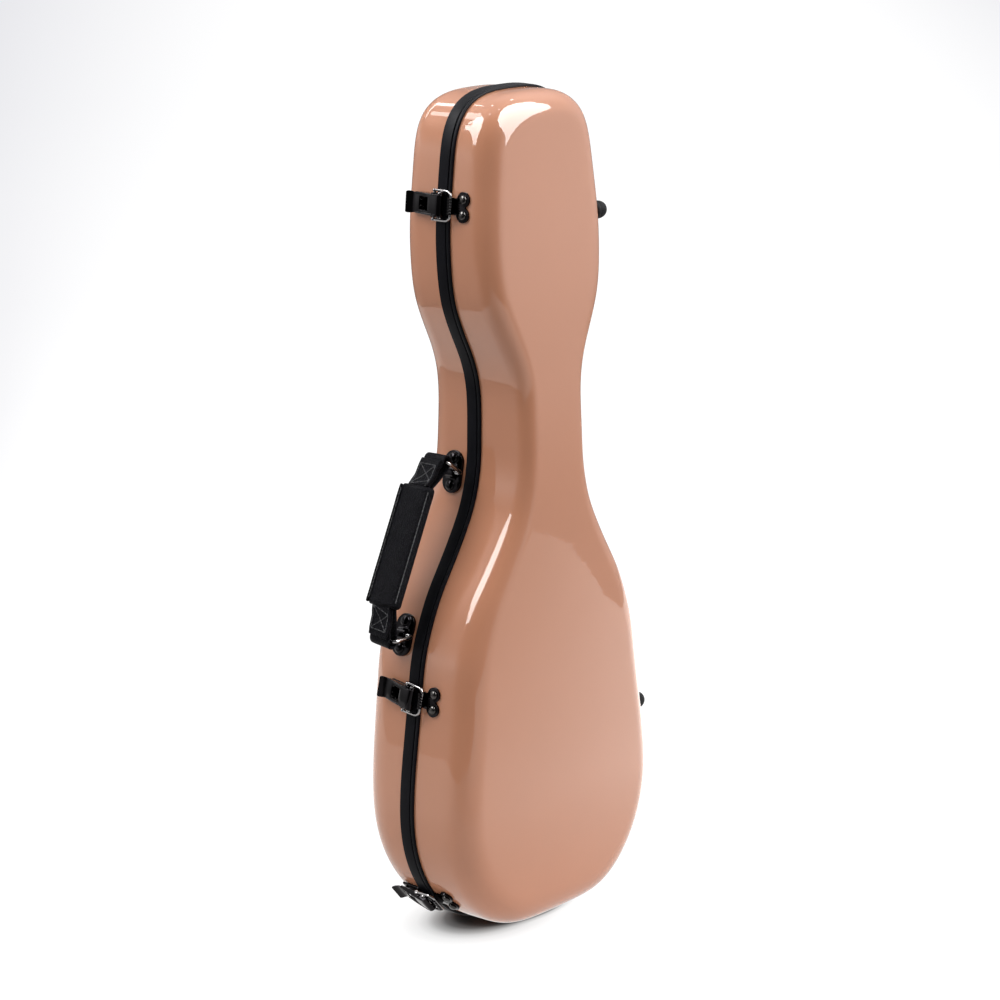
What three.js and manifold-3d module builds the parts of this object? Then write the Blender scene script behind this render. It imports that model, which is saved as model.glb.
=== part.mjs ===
// Hard-shell ukulele case: two glass-fibre shells that part along the middle of the side wall,
// a rubber edge band on each shell, three draw latches, a leather handle on wire rings, two hinges,
// plush-covered foam linings, a neck cradle and an accessory compartment.
// Millimetres, +Z up. The case stands on its bottom end. The lid faces -Y, the base shell +Y,
// the latches and the handle are on -X and the hinges on +X. The parting plane is y = 0.
import * as THREE from 'three';
import { mergeVertices } from 'three/addons/utils/BufferGeometryUtils.js';
import Module from 'manifold-3d';

const wasm = await Module();
wasm.setup();

// ---------------------------------------------------------------- driving dimensions
const CASE_HEIGHT = 670;            // shell, bottom to top
// half-width of the shell against height, before the rounded ends
const KNOT_Z = [0, 45, 90, 130, 165, 200, 230, 255, 280, 300, 320, 340, 360, 380, 400, 420, 440, 460, 480, 505, 535, 570, 610, 670];
const KNOT_W = [84.66, 108.3, 120.45, 120.06, 115.53, 110.56, 105.85, 97.49, 85.06, 71.66, 58.69, 47.66, 40.9, 37.65, 37.0, 36.95, 38.69, 44.6, 54.55, 65.88, 71.66, 72.74, 70.36, 78.96];
const TOP_CAP = { height: 96.1, power: 2.928 };     // superelliptic ends of the outline
const BOTTOM_CAP = { height: 122.44, power: 4.5 };
// depth from the parting plane to the flat face, and the radius between side wall and face
const LID = { side: -1, z: [0, 130, 260, 380, 500, 670], depth: [60.0, 56.9, 52.9, 52.7, 46.4, 35.9], radius: [24.5, 20.5, 18.0, 12.5, 16.0, 18.5], draft: 0.2 };
const BASE = { side: 1, z: [0, 220, 440, 670], depth: [54.6, 62.1, 54.2, 48.4], radius: [33.4, 27.5, 22.0, 16.2], draft: 1.94 };
const WALL = 3.0;                   // shell thickness
const BAND_PROUD = 2.1;             // edge band over the shell
const BASE_BAND_W = 10.6;
const LID_BAND_W = 3.2;
const PARTING_GAP = 0.4;            // half of the gap between the two bands
const FLANGE = 1.4;                 // band thickness over the shell's rim
const LINING_SIDE = 6;
const LINING_FLOOR = 9;
const GAP = 0.3;                    // between pieces that touch
const RING_N = 72;                  // corners of every ring round the case

// ---------------------------------------------------------------- maths helpers
function naturalSpline(xs, ys) {
  const n = xs.length, h = [], al = new Array(n).fill(0), l = new Array(n).fill(1), mu = new Array(n).fill(0), zz = new Array(n).fill(0);
  for (let i = 0; i < n - 1; i++) h.push(xs[i + 1] - xs[i]);
  for (let i = 1; i < n - 1; i++) al[i] = 3 * (ys[i + 1] - ys[i]) / h[i] - 3 * (ys[i] - ys[i - 1]) / h[i - 1];
  for (let i = 1; i < n - 1; i++) {
    l[i] = 2 * (xs[i + 1] - xs[i - 1]) - h[i - 1] * mu[i - 1];
    mu[i] = h[i] / l[i];
    zz[i] = (al[i] - h[i - 1] * zz[i - 1]) / l[i];
  }
  const c = new Array(n).fill(0), b = [], d = [];
  for (let j = n - 2; j >= 0; j--) {
    c[j] = zz[j] - mu[j] * c[j + 1];
    b[j] = (ys[j + 1] - ys[j]) / h[j] - h[j] * (c[j + 1] + 2 * c[j]) / 3;
    d[j] = (c[j + 1] - c[j]) / (3 * h[j]);
  }
  return (x) => {
    let j = 0;
    while (j < n - 2 && x > xs[j + 1]) j++;
    const t = x - xs[j];
    return ys[j] + b[j] * t + c[j] * t * t + d[j] * t * t * t;
  };
}
const halfWidth = naturalSpline(KNOT_Z, KNOT_W);
for (const s of [LID, BASE]) { s.depthAt = naturalSpline(s.z, s.depth); s.radiusAt = naturalSpline(s.z, s.radius); }

// ---------------------------------------------------------------- outline of the case, seen from the front
const FINE = 720;                   // points round the outline, mirrored about x = 0
function halfOutline() {
  const pts = [];
  const m = 400;
  for (let k = m; k >= 0; k--) {    // bottom end, from the middle outwards
    const t = Math.PI / 2 * k / m;
    const z = BOTTOM_CAP.height * (1 - Math.sin(t) ** (2 / BOTTOM_CAP.power));
    pts.push([halfWidth(z) * Math.cos(t) ** (2 / BOTTOM_CAP.power), z]);
  }
  const z0 = BOTTOM_CAP.height, z1 = CASE_HEIGHT - TOP_CAP.height;
  for (let k = 1; k < 800; k++) { const z = z0 + (z1 - z0) * k / 800; pts.push([halfWidth(z), z]); }
  for (let k = 0; k <= m; k++) {
    const t = Math.PI / 2 * k / m;
    const z = z1 + TOP_CAP.height * Math.sin(t) ** (2 / TOP_CAP.power);
    pts.push([halfWidth(z) * Math.cos(t) ** (2 / TOP_CAP.power), z]);
  }
  pts[0] = [0, 0];
  pts[pts.length - 1] = [0, CASE_HEIGHT];
  return pts;
}
function resample(pts, count) {     // even in arc length, then denser where the line turns
  const len = [0];
  for (let i = 1; i < pts.length; i++) len.push(len[i - 1] + Math.hypot(pts[i][0] - pts[i - 1][0], pts[i][1] - pts[i - 1][1]));
  const at = (L, s) => {
    let lo = 0, hi = len.length - 1;
    while (hi - lo > 1) { const m = (lo + hi) >> 1; if (L[m] <= s) lo = m; else hi = m; }
    const t = (s - L[lo]) / Math.max(L[hi] - L[lo], 1e-12);
    return [pts[lo][0] + t * (pts[hi][0] - pts[lo][0]), pts[lo][1] + t * (pts[hi][1] - pts[lo][1])];
  };
  const even = [];
  const E = 1200;
  for (let i = 0; i <= E; i++) even.push(at(len, len[len.length - 1] * i / E));
  const w = [0];
  const turn = [];
  for (let i = 0; i <= E; i++) {
    const a = even[Math.max(i - 6, 0)], b = even[i], c = even[Math.min(i + 6, E)];
    const u = Math.atan2(b[1] - a[1], b[0] - a[0]), v = Math.atan2(c[1] - b[1], c[0] - b[0]);
    turn.push(i < 6 || i > E - 6 ? 0 : Math.abs(v - u) / 6);
  }
  for (let i = 1; i <= E; i++) {
    const ds = Math.hypot(even[i][0] - even[i - 1][0], even[i][1] - even[i - 1][1]);
    w.push(w[i - 1] + ds + 60 * (turn[i] + turn[i - 1]) / 2);
  }
  const out = [];
  for (let k = 0; k <= count; k++) {
    const s = w[E] * k / count;
    let lo = 0, hi = E;
    while (hi - lo > 1) { const m = (lo + hi) >> 1; if (w[m] <= s) lo = m; else hi = m; }
    const t = (s - w[lo]) / Math.max(w[hi] - w[lo], 1e-12);
    out.push([even[lo][0] + t * (even[hi][0] - even[lo][0]), even[lo][1] + t * (even[hi][1] - even[lo][1])]);
  }
  return out;
}
const half = resample(halfOutline(), FINE / 2);
half[0][0] = 0; half[FINE / 2][0] = 0;
const OUTLINE = [...half, ...half.slice(1, -1).reverse().map(([x, z]) => [-x, z])];
function normalsOf(P) {
  const n = P.length;
  return P.map((_, i) => {
    const a = P[(i + n - 1) % n], b = P[(i + 1) % n];
    const tx = b[0] - a[0], tz = b[1] - a[1], l = Math.hypot(tx, tz);
    return [tz / l, -tx / l];
  });
}
const NORMALS = normalsOf(OUTLINE);
// rings that step inwards half a millimetre at a time, lightly smoothed so that tight corners stay round
const STEP = 0.5;
const INSET = [OUTLINE];
for (let k = 0; k < 100; k++) {
  const P = INSET[INSET.length - 1], N = normalsOf(P), n = P.length;
  const Q = P.map((p, i) => [p[0] - N[i][0] * STEP, p[1] - N[i][1] * STEP]);
  INSET.push(Q.map((q, i) => {
    const a = Q[(i + n - 1) % n], b = Q[(i + 1) % n];
    return [q[0] + 0.12 * (a[0] + b[0] - 2 * q[0]), q[1] + 0.12 * (a[1] + b[1] - 2 * q[1])];
  }));
}
function inset(i, d) {              // point i of the outline, moved inwards by d (outwards if d < 0)
  if (d <= 0) return [OUTLINE[i][0] - NORMALS[i][0] * d, OUTLINE[i][1] - NORMALS[i][1] * d];
  const k = Math.min(Math.floor(d / STEP), INSET.length - 2), t = d / STEP - k;
  const a = INSET[k][i], b = INSET[k + 1][i];
  return [a[0] + t * (b[0] - a[0]), a[1] + t * (b[1] - a[1])];
}
const PICK = Array.from({ length: RING_N }, (_, k) => k * FINE / RING_N);

// ---------------------------------------------------------------- lofted solids
// rings: lists of RING_N points [x, y, z]; closed joins the last ring to the first, else both ends are capped
function loft(rings, closed) {
  const n = rings[0].length, pos = [], idx = [];
  rings.forEach((r) => r.forEach((p) => pos.push(p[0], p[1], p[2])));
  const R = rings.length, last = closed ? R : R - 1;
  for (let k = 0; k < last; k++) {
    const a = k * n, b = ((k + 1) % R) * n;
    for (let i = 0; i < n; i++) {
      const j = (i + 1) % n;
      idx.push(a + i, a + j, b + j, a + i, b + j, b + i);
    }
  }
  if (!closed) {
    const cap = (o, flip) => {        // strips across the ring, from one side to its mirror image
      const put = (a, b, c) => (flip ? idx.push(o + a, o + c, o + b) : idx.push(o + a, o + b, o + c));
      put(0, 1, n - 1);
      for (let i = 1; i < n / 2 - 1; i++) { put(i, i + 1, n - i); put(i + 1, n - i - 1, n - i); }
      put(n / 2 - 1, n / 2, n / 2 + 1);
    };
    cap(0, true);
    cap((R - 1) * n, false);
  }
  return closedGeometry(pos, idx);
}
function closedGeometry(pos, idx) {
  let vol = 0;
  for (let i = 0; i < idx.length; i += 3) {
    const [a, b, c] = [idx[i] * 3, idx[i + 1] * 3, idx[i + 2] * 3];
    vol += pos[a] * (pos[b + 1] * pos[c + 2] - pos[b + 2] * pos[c + 1]) + pos[a + 1] * (pos[b + 2] * pos[c] - pos[b] * pos[c + 2]) + pos[a + 2] * (pos[b] * pos[c + 1] - pos[b + 1] * pos[c]);
  }
  if (vol < 0) for (let i = 0; i < idx.length; i += 3) { const t = idx[i + 1]; idx[i + 1] = idx[i + 2]; idx[i + 2] = t; }
  const g = new THREE.BufferGeometry();
  g.setAttribute('position', new THREE.Float32BufferAttribute(pos, 3));
  g.setIndex(idx);
  g.computeVertexNormals();
  return g;
}
// one surface of a half shell, from the rim at height y0 to the edge of the flat face
function surfaceRings(part, tSide, tFloor, y0, sideSteps, roundSteps) {
  const rows = [];
  const tan = Math.tan(part.draft * Math.PI / 180);
  const at = (f) => PICK.map((i) => {
    const z = OUTLINE[i][1], D = part.depthAt(z) - tFloor, R = Math.max(part.radiusAt(z) - Math.max(tSide, tFloor) * 0.9, 7);
    const [d, y] = f(D, R);
    const [x, zz] = inset(i, d);
    return [x, part.side * y, zz];
  });
  for (let k = 0; k <= sideSteps; k++) rows.push(at((D, R) => { const y = y0 + (D - R - y0) * k / sideSteps; return [tSide + tan * y, y]; }));
  for (let k = 1; k <= roundSteps; k++) {
    const a = Math.PI / 2 * k / roundSteps;
    rows.push(at((D, R) => [tSide + tan * (D - R) + R * (1 - Math.cos(a)), D - R + R * Math.sin(a)]));
  }
  return rows;
}
function halfShell(part, tOut, tOutFloor, tIn, tInFloor, y0, outRound, inRound) {
  const outer = surfaceRings(part, tOut, tOutFloor, y0, 1, outRound);
  const inner = surfaceRings(part, tIn, tInFloor, y0, 1, inRound);
  return loft([...inner.reverse(), ...outer], false);
}
function band(part, sections) {      // sections: corners [outward offset, height above the parting plane]
  return loft(sections.map(([o, y]) => PICK.map((i) => { const [x, z] = inset(i, -o); return [x, part.side * y, z]; })), true);
}

// ---------------------------------------------------------------- small solids, joined and cut
function man(g) {
  const c = g.clone();
  for (const name of Object.keys(c.attributes)) if (name !== 'position') c.deleteAttribute(name);
  const m = mergeVertices(c, 1e-5);
  const idx = [];
  const src = m.index.array;
  for (let i = 0; i < src.length; i += 3) if (src[i] !== src[i + 1] && src[i + 1] !== src[i + 2] && src[i] !== src[i + 2]) idx.push(src[i], src[i + 1], src[i + 2]);
  return new wasm.Manifold(new wasm.Mesh({ numProp: 3, vertProperties: new Float32Array(m.attributes.position.array), triVerts: new Uint32Array(idx) }));
}
function geo(m) {
  const mesh = m.getMesh();
  const g = new THREE.BufferGeometry();
  g.setAttribute('position', new THREE.Float32BufferAttribute(mesh.vertProperties.slice(0, mesh.numVert * 3), 3));
  g.setIndex(Array.from(mesh.triVerts));
  g.computeVertexNormals();
  return g;
}
const join = (...gs) => geo(gs.map(man).reduce((a, b) => a.add(b)));
const cut = (g, ...tools) => geo(tools.map(man).reduce((a, b) => a.subtract(b), man(g)));
const span = (x0, x1, y0, y1, z0, z1) => new THREE.BoxGeometry(x1 - x0, y1 - y0, z1 - z0).translate((x0 + x1) / 2, (y0 + y1) / 2, (z0 + z1) / 2);
function prism(points, z0, z1) {      // outline in x, y; pulled along z
  return new THREE.ExtrudeGeometry(new THREE.Shape(points.map(([x, y]) => new THREE.Vector2(x, y))), { depth: z1 - z0, bevelEnabled: false, curveSegments: 6 }).translate(0, 0, z0);
}
const TO_X = new THREE.Matrix4().set(0, 0, 1, 0, 1, 0, 0, 0, 0, 1, 0, 0, 0, 0, 0, 1);   // (a, b, depth) -> (depth, a, b)
const slab = (shape, x0, x1, seg = 8) => new THREE.ExtrudeGeometry(shape, { depth: x1 - x0, bevelEnabled: false, curveSegments: seg }).translate(0, 0, x0).applyMatrix4(TO_X);
const shapeOf = (pts) => new THREE.Shape(pts.map(([a, b]) => new THREE.Vector2(a, b)));
const alongX = (pts, x0, x1) => new THREE.ExtrudeGeometry(shapeOf(pts.map(([z, y]) => [-z, y])), { depth: x1 - x0, bevelEnabled: false }).translate(0, 0, x0)
  .applyMatrix4(new THREE.Matrix4().set(0, 0, 1, 0, 0, 1, 0, 0, -1, 0, 0, 0, 0, 0, 0, 1));   // outline in z, y; pulled along x
const rodZ = (r, x, y, z0, z1, seg = 12) => new THREE.CylinderGeometry(r, r, z1 - z0, seg).rotateX(Math.PI / 2).translate(x, y, (z0 + z1) / 2);
const lathe = (profile, seg = 16) => new THREE.LatheGeometry(profile.map(([r, h]) => new THREE.Vector2(r, h)), seg);
function stadium(len, wid) {          // long along b, round ends
  const s = new THREE.Shape(), r = wid / 2, h = len / 2 - r;
  s.moveTo(r, -h); s.lineTo(r, h); s.absarc(0, h, r, 0, Math.PI, false); s.lineTo(-r, -h); s.absarc(0, -h, r, Math.PI, 2 * Math.PI, false);
  return s;
}

// ---------------------------------------------------------------- finishes
const mat = (color, roughness, metalness) => new THREE.MeshStandardMaterial({ color, roughness, metalness });
const GELCOAT = mat(0xc4937c, 0.12, 0);
const RUBBER = mat(0x17181a, 0.55, 0);
const BLACK_NICKEL = mat(0x1c1b1c, 0.2, 1);
const BRIGHT_NICKEL = mat(0x6b6a68, 0.18, 1);
const LEATHER = mat(0x15151a, 0.5, 0);
const PLUSH = mat(0x2a2422, 0.95, 0);
const RIBBON = mat(0x8a6a58, 0.8, 0);

const model = new THREE.Group();
const named = (name, geometry, material, parent = model) => {
  const mesh = new THREE.Mesh(geometry, material);
  mesh.name = name;
  parent.add(mesh);
  return mesh;
};

// ---------------------------------------------------------------- shells, bands and linings
named('lid_shell', halfShell(LID, 0, 0, WALL, WALL, PARTING_GAP + FLANGE + GAP, 5, 3), GELCOAT);
named('base_shell', halfShell(BASE, 0, 0, WALL, WALL, PARTING_GAP + FLANGE + GAP, 5, 3), GELCOAT);
const bandSection = (w) => [[BAND_PROUD, PARTING_GAP], [BAND_PROUD, w], [GAP, w], [GAP, PARTING_GAP + FLANGE], [-WALL - 0.2, PARTING_GAP + FLANGE], [-WALL - 0.2, PARTING_GAP]];
named('lid_edge_band', band(LID, bandSection(LID_BAND_W)), RUBBER);
named('base_edge_band', band(BASE, bandSection(BASE_BAND_W)), RUBBER);
const LINE_OUT = WALL + 0.5;
named('lid_lining', halfShell(LID, LINE_OUT, LINE_OUT, LINE_OUT + LINING_SIDE, LINE_OUT + LINING_FLOOR, 0.9, 3, 3), PLUSH);
named('base_lining', halfShell(BASE, LINE_OUT, LINE_OUT, LINE_OUT + LINING_SIDE, LINE_OUT + LINING_FLOOR, 0.9, 3, 3), PLUSH);

// ---------------------------------------------------------------- places on the side wall
// local frame of a fitting: +X out of the wall, +Y towards the lid, +Z along the wall
function nearest(x, z) {
  let best = 0, bd = 1e9;
  OUTLINE.forEach((p, i) => { const d = Math.hypot(p[0] - x, p[1] - z); if (d < bd) { bd = d; best = i; } });
  return best;
}
function fitting(i, y = 0) {
  const g = new THREE.Group();
  const [nx, nz] = NORMALS[i], [px, pz] = OUTLINE[i];
  const m = new THREE.Matrix4().makeBasis(new THREE.Vector3(nx, 0, nz), new THREE.Vector3(0, -1, 0), new THREE.Vector3(nz, 0, -nx));
  m.setPosition(px, y, pz);
  m.decompose(g.position, g.quaternion, g.scale);
  g.userData.index = i;
  model.add(g);
  return g;
}
// how far the many-sided wall stands out of the tangent at point i, within reach along the wall
function wallRise(i, reach) {
  const [nx, nz] = NORMALS[i], [px, pz] = OUTLINE[i];
  const local = PICK.map((k) => { const [x, z] = OUTLINE[k]; return [(x - px) * nx + (z - pz) * nz, (x - px) * nz - (z - pz) * nx]; });
  let top = 0;
  for (let k = 0; k < local.length; k++) {
    const a = local[k], b = local[(k + 1) % local.length];
    if (Math.abs(a[0]) > 60 && Math.abs(b[0]) > 60) continue;
    for (let s = 0; s <= 20; s++) {
      const q = [a[0] + (b[0] - a[0]) * s / 20, a[1] + (b[1] - a[1]) * s / 20];
      if (Math.abs(q[1]) <= reach && q[0] > -30) top = Math.max(top, q[0]);
    }
  }
  return top;
}

// ---------------------------------------------------------------- draw latches
const LEVER_AXIS = [6.2, -5.5];       // x out of the wall, y towards the lid
const LINK_AXIS = [5.9, -11.5];
const PIN_R = 1.2, PIN_HOLE = 1.6;
const LATCH_SHIFT = 2;                // the base side sits this much nearer to the lid than these numbers
function latch(name, i, turn = 0) {
  const g = fitting(i);
  // the base side may sit a little turned on the wall, about the middle of its two axes
  const about = new THREE.Group(), b = new THREE.Group();
  about.position.y = (LEVER_AXIS[1] + LINK_AXIS[1]) / 2 + LATCH_SHIFT;
  about.rotation.x = -turn;
  b.position.y = LATCH_SHIFT - about.position.y;
  about.add(b);
  g.add(about);
  const [ax, ay] = LEVER_AXIS, [bx, by] = LINK_AXIS;
  // plate riveted to the base shell, with two ears that reach over the edge band
  const ear = [[0.9, -25], [0.9, -15.2], [2.7, -14.5], [3.5, -4.4], [5.0, -3.1], [7.4, -3.3], [8.3, -5.2], [8.0, -7.6], [2.4, -25]];
  named(`${name}_latch_plate`, cut(join(span(GAP, 1.6, -32, -15, -8.2, 8.2), prism(ear, 5.0, 6.4), prism(ear, -6.4, -5.0)),
    rodZ(PIN_HOLE, ax, ay, -8, 8)), BLACK_NICKEL, b);
  // lever: a wedge-shaped channel that runs down to the wall, with a nose, a window and a flared finger tab
  const cheek = [[2.7, -30.5], [3.0, -20], [3.0, -8], [3.2, -3.4], [5.0, -2.2], [8.6, -2.2], [10.8, -4.4], [5.0, -30.5]];
  const top = [[8.6, -2.2], [10.8, -4.4], [4.1, -33.5], [4.6, -35.2], [5.9, -37.4], [7.4, -39.2], [6.4, -39.9], [4.8, -37.9], [3.4, -35.6], [2.9, -33.5], [9.6, -4.6], [8.0, -3.0]];
  named(`${name}_latch_lever`, cut(join(prism(cheek, 7.0, 8.4), prism(cheek, -8.4, -7.0), prism(top, -8.4, 8.4)),
    rodZ(PIN_HOLE, ax, ay, -10, 10), rodZ(PIN_HOLE, bx, by, -10, 10), span(3, 11, -24.5, -14, -5.4, 5.4)), BLACK_NICKEL, b);
  named(`${name}_latch_pin`, join(rodZ(PIN_R, ax, ay, -9.2, 9.2), rodZ(2.1, ax, ay, 8.7, 9.7), rodZ(2.1, ax, ay, -9.7, -8.7)), BRIGHT_NICKEL, b);
  // link: a bail that hangs on the lever and reaches over the hook
  const outer = [[-13.8, -12.5], [1.6, -12.5], [6.1, -8.6], [6.1, 8.6], [1.6, 12.5], [-13.8, 12.5], [-13.8, 10.8], [0.9, 10.8], [4.3, 7.8], [4.3, -7.8], [0.9, -10.8], [-13.8, -10.8]];
  named(`${name}_latch_link`, join(slab(shapeOf(outer), 4.9, 6.9), rodZ(PIN_R, bx, by, 6.7, 11.2), rodZ(PIN_R, bx, by, -11.2, -6.7)), BRIGHT_NICKEL, b);
  // strike on the lid: hook lip, neck and two round lobes
  const lobe = (z) => slab(shapeOf(Array.from({ length: 16 }, (_, k) => [15.7 + 6 * Math.cos(Math.PI * (k + 0.5) / 8), z + 6 * Math.sin(Math.PI * (k + 0.5) / 8)])), GAP, 1.9);
  named(`${name}_latch_strike`, join(lobe(6), lobe(-6), span(GAP, 1.9, LID_BAND_W + 0.5, 13.0, -6.7, 6.7), span(GAP, 1.9, 12.0, 17.4, -3.1, 3.1), span(1.0, 4.5, LID_BAND_W + 0.5, LID_BAND_W + 1.8, -6.7, 6.7)), BLACK_NICKEL, g);
  for (const [s, z] of [['a', 6], ['b', -6]]) {
    named(`${name}_strike_rivet_${s}`, lathe([[0, 0], [3.5, 0], [3.3, 0.8], [2.2, 1.7], [0, 2.1]], 12).rotateZ(-Math.PI / 2).translate(2.2, 16.2, z), BLACK_NICKEL, g);
  }
  return g;
}
latch('upper', nearest(-71.5, 587.2));
latch('lower', nearest(-110.5, 200.8), 7 * Math.PI / 180);
latch('bottom', nearest(-91.8, 30.8));

// ---------------------------------------------------------------- handle
const HANDLE_Y = 23.5;                 // on the base shell, beside the edge band
const TUNNEL = 4.2;                    // ring bar above the wall
const RING_WIRE = 1.5;
const RING_LEN = 20.5, RING_WID = 25.5;
const UP = { i: nearest(-39.5, 366.3), lean: [-0.807, 0.59] };
const LOW = { i: nearest(-101.2, 245.5), lean: [-1, 0.015] };
for (const [name, h] of [['upper', UP], ['lower', LOW]]) {
  const g = fitting(h.i, HANDLE_Y);
  const drop = Math.tan(BASE.draft * Math.PI / 180) * (HANDLE_Y - 9);
  const rise = Math.max(wallRise(h.i, 18) - drop, 0) + GAP;
  const [nx, nz] = NORMALS[h.i], [px, pz] = OUTLINE[h.i];
  h.axis = [px + nx * (rise + TUNNEL), pz + nz * (rise + TUNNEL)];
  const arch = [[0.4, -4.8], [4.8, -4.2], [6.9, -2.2], [6.9, 2.2], [4.8, 4.2], [0.4, 4.8]];   // x out, z along the wall
  const archSolid = new THREE.ExtrudeGeometry(shapeOf(arch), { depth: 10, bevelEnabled: false }).translate(0, 0, -5)
    .applyMatrix4(new THREE.Matrix4().set(1, 0, 0, 0, 0, 0, -1, 0, 0, 1, 0, 0, 0, 0, 0, 1)).translate(rise, 0, 0);
  const tunnel = new THREE.CylinderGeometry(1.95, 1.95, 14, 12).translate(rise + TUNNEL, 0, 0);
  named(`handle_${name}_plate`, cut(join(slab(stadium(34.5, 18.3), rise, rise + 1.6, 6), archSolid), tunnel), BLACK_NICKEL, g);
  for (const [s, z] of [['a', 11], ['b', -11]]) {
    named(`handle_${name}_rivet_${s}`, lathe([[0, 0], [4.4, 0], [4.1, 1.0], [2.6, 2.1], [0, 2.6]], 12).rotateZ(-Math.PI / 2).translate(rise + 1.9, 0, z), BLACK_NICKEL, g);
  }
  // wire ring: inner bar in the tunnel, outer bar in the strap's loop
  const [lx, lz] = h.lean, L = Math.hypot(lx, lz), ux = lx / L, uz = lz / L;
  h.bar = [h.axis[0] + ux * RING_LEN, h.axis[1] + uz * RING_LEN];
  const c = 4, w = RING_WID / 2, loop = new THREE.CurvePath();
  const P = (a, y) => new THREE.Vector3(h.axis[0] + ux * a, HANDLE_Y + y, h.axis[1] + uz * a);
  const corners = [[0, -w], [RING_LEN, -w], [RING_LEN, w], [0, w]];
  corners.forEach(([a, y], k) => {
    const n = corners[(k + 1) % 4], q = corners[(k + 2) % 4];
    const d1 = [Math.sign(n[0] - a), Math.sign(n[1] - y)], d2 = [Math.sign(q[0] - n[0]), Math.sign(q[1] - n[1])];
    loop.add(new THREE.LineCurve3(P(a + d1[0] * c, y + d1[1] * c), P(n[0] - d1[0] * c, n[1] - d1[1] * c)));
    loop.add(new THREE.QuadraticBezierCurve3(P(n[0] - d1[0] * c, n[1] - d1[1] * c), P(n[0], n[1]), P(n[0] + d2[0] * c, n[1] + d2[1] * c)));
  });
  h.ring = ringSolid(loop, P);
  named(`handle_${name}_ring`, h.ring, BRIGHT_NICKEL);
}
function ringSolid(path, P) {          // closed wire: sections set square to the path
  const e = P(1, 0).sub(P(0, 0)), f = P(0, 1).sub(P(0, 0)), up = e.clone().cross(f).normalize();
  const pts = [];
  path.curves.forEach((curve) => {
    const steps = curve.isLineCurve3 ? 1 : 4;
    for (let k = 0; k < steps; k++) pts.push([curve.getPoint(k / steps), curve.getTangent(k / steps)]);
  });
  const n = 10, pos = [], idx = [];
  pts.forEach(([p, t]) => {
    const s = t.clone().cross(up).normalize();
    for (let k = 0; k < n; k++) {
      const a = 2 * Math.PI * k / n;
      const q = p.clone().addScaledVector(s, RING_WIRE * Math.cos(a)).addScaledVector(up, RING_WIRE * Math.sin(a));
      pos.push(q.x, q.y, q.z);
    }
  });
  for (let r = 0; r < pts.length; r++) {
    const a = r * n, b = ((r + 1) % pts.length) * n;
    for (let k = 0; k < n; k++) { const j = (k + 1) % n; idx.push(a + k, a + j, b + j, a + k, b + j, b + k); }
  }
  return closedGeometry(pos, idx);
}
// strap and grip: frame along the line between the two outer bars
{
  const [ux, uz] = UP.bar, [lx, lz] = LOW.bar;
  const span2 = Math.hypot(ux - lx, uz - lz) / 2, tx = (ux - lx) / (2 * span2), tz = (uz - lz) / (2 * span2);
  const g = new THREE.Group();          // local x outward, local y towards the lid, local z along the strap
  const m = new THREE.Matrix4().makeBasis(new THREE.Vector3(-tz, 0, tx), new THREE.Vector3(0, -1, 0), new THREE.Vector3(tx, 0, tz));
  m.setPosition((ux + lx) / 2, HANDLE_Y, (uz + lz) / 2);
  m.decompose(g.position, g.quaternion, g.scale);
  model.add(g);
  const H = 10.4, t = 2.6, r = 6;       // grip's height over the line, strap ply, loop radius
  // over the upper loop, down the outer ply, round the lower loop and up the inner ply
  const arc = [];
  for (let k = 0; k <= 9; k++) { const a = (210 - 235 * k / 9) * Math.PI / 180; arc.push([r * Math.cos(a), span2 + r * Math.sin(a)]); }
  const poly = [...arc, [H + t, 51], [H + t, -51], ...arc.map(([x, z]) => [x, -z]).reverse(), [H - t, -50.5], [H - t, 50.5]];
  const shape = shapeOf(poly);
  const toStrap = new THREE.Matrix4().set(1, 0, 0, 0, 0, 0, -1, 0, 0, 1, 0, 0, 0, 0, 0, 1);
  const barHole = (z) => new THREE.CylinderGeometry(3.5, 3.5, 30, 14).translate(0, 0, z);
  named('handle_strap', cut(new THREE.ExtrudeGeometry(shape, { depth: 20, bevelEnabled: false }).translate(0, 0, -10).applyMatrix4(toStrap), barHole(span2), barHole(-span2)), LEATHER, g);
  const w = 16, d = 5;                   // padded grip: rounded flat sleeve over the strap
  const sec = [[H - d, -w + 2], [H - d, w - 2], [H - d + 2, w], [H + d - 2.6, w], [H + d, w - 3], [H + d + 0.8, 0], [H + d, -w + 3], [H + d - 2.6, -w], [H - d + 2, -w]];
  named('handle_grip', cut(prism(sec, -49.5, 49.5), span(H - t - GAP, H + t + GAP, -10.4, 10.4, -60, 60)), LEATHER, g);
}

// ---------------------------------------------------------------- hinges, on one straight axis that clears both bulges
const AXIS_OUT = 5.8;                   // axis outside the shell
const HINGE = (() => {
  let a = nearest(120, 105), b = nearest(73, 575);
  for (let k = 0; k < 6; k++) {           // common tangent of the two bulges
    const tx = OUTLINE[b][0] - OUTLINE[a][0], tz = OUTLINE[b][1] - OUTLINE[a][1], l = Math.hypot(tx, tz), nx = tz / l, nz = -tx / l;
    const far = (z0, z1) => { let best = a, bd = -1e9; OUTLINE.forEach((p, i) => { const v = p[0] * nx + p[1] * nz; if (p[0] > 0 && p[1] > z0 && p[1] < z1 && v > bd) { bd = v; best = i; } }); return best; };
    a = far(20, 300); b = far(450, 660);
  }
  const tx = OUTLINE[b][0] - OUTLINE[a][0], tz = OUTLINE[b][1] - OUTLINE[a][1], l = Math.hypot(tx, tz);
  return { a, b, t: [tx / l, tz / l], n: [tz / l, -tx / l] };
})();
HINGE.point = [OUTLINE[HINGE.a][0] + HINGE.n[0] * AXIS_OUT, OUTLINE[HINGE.a][1] + HINGE.n[1] * AXIS_OUT];
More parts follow.
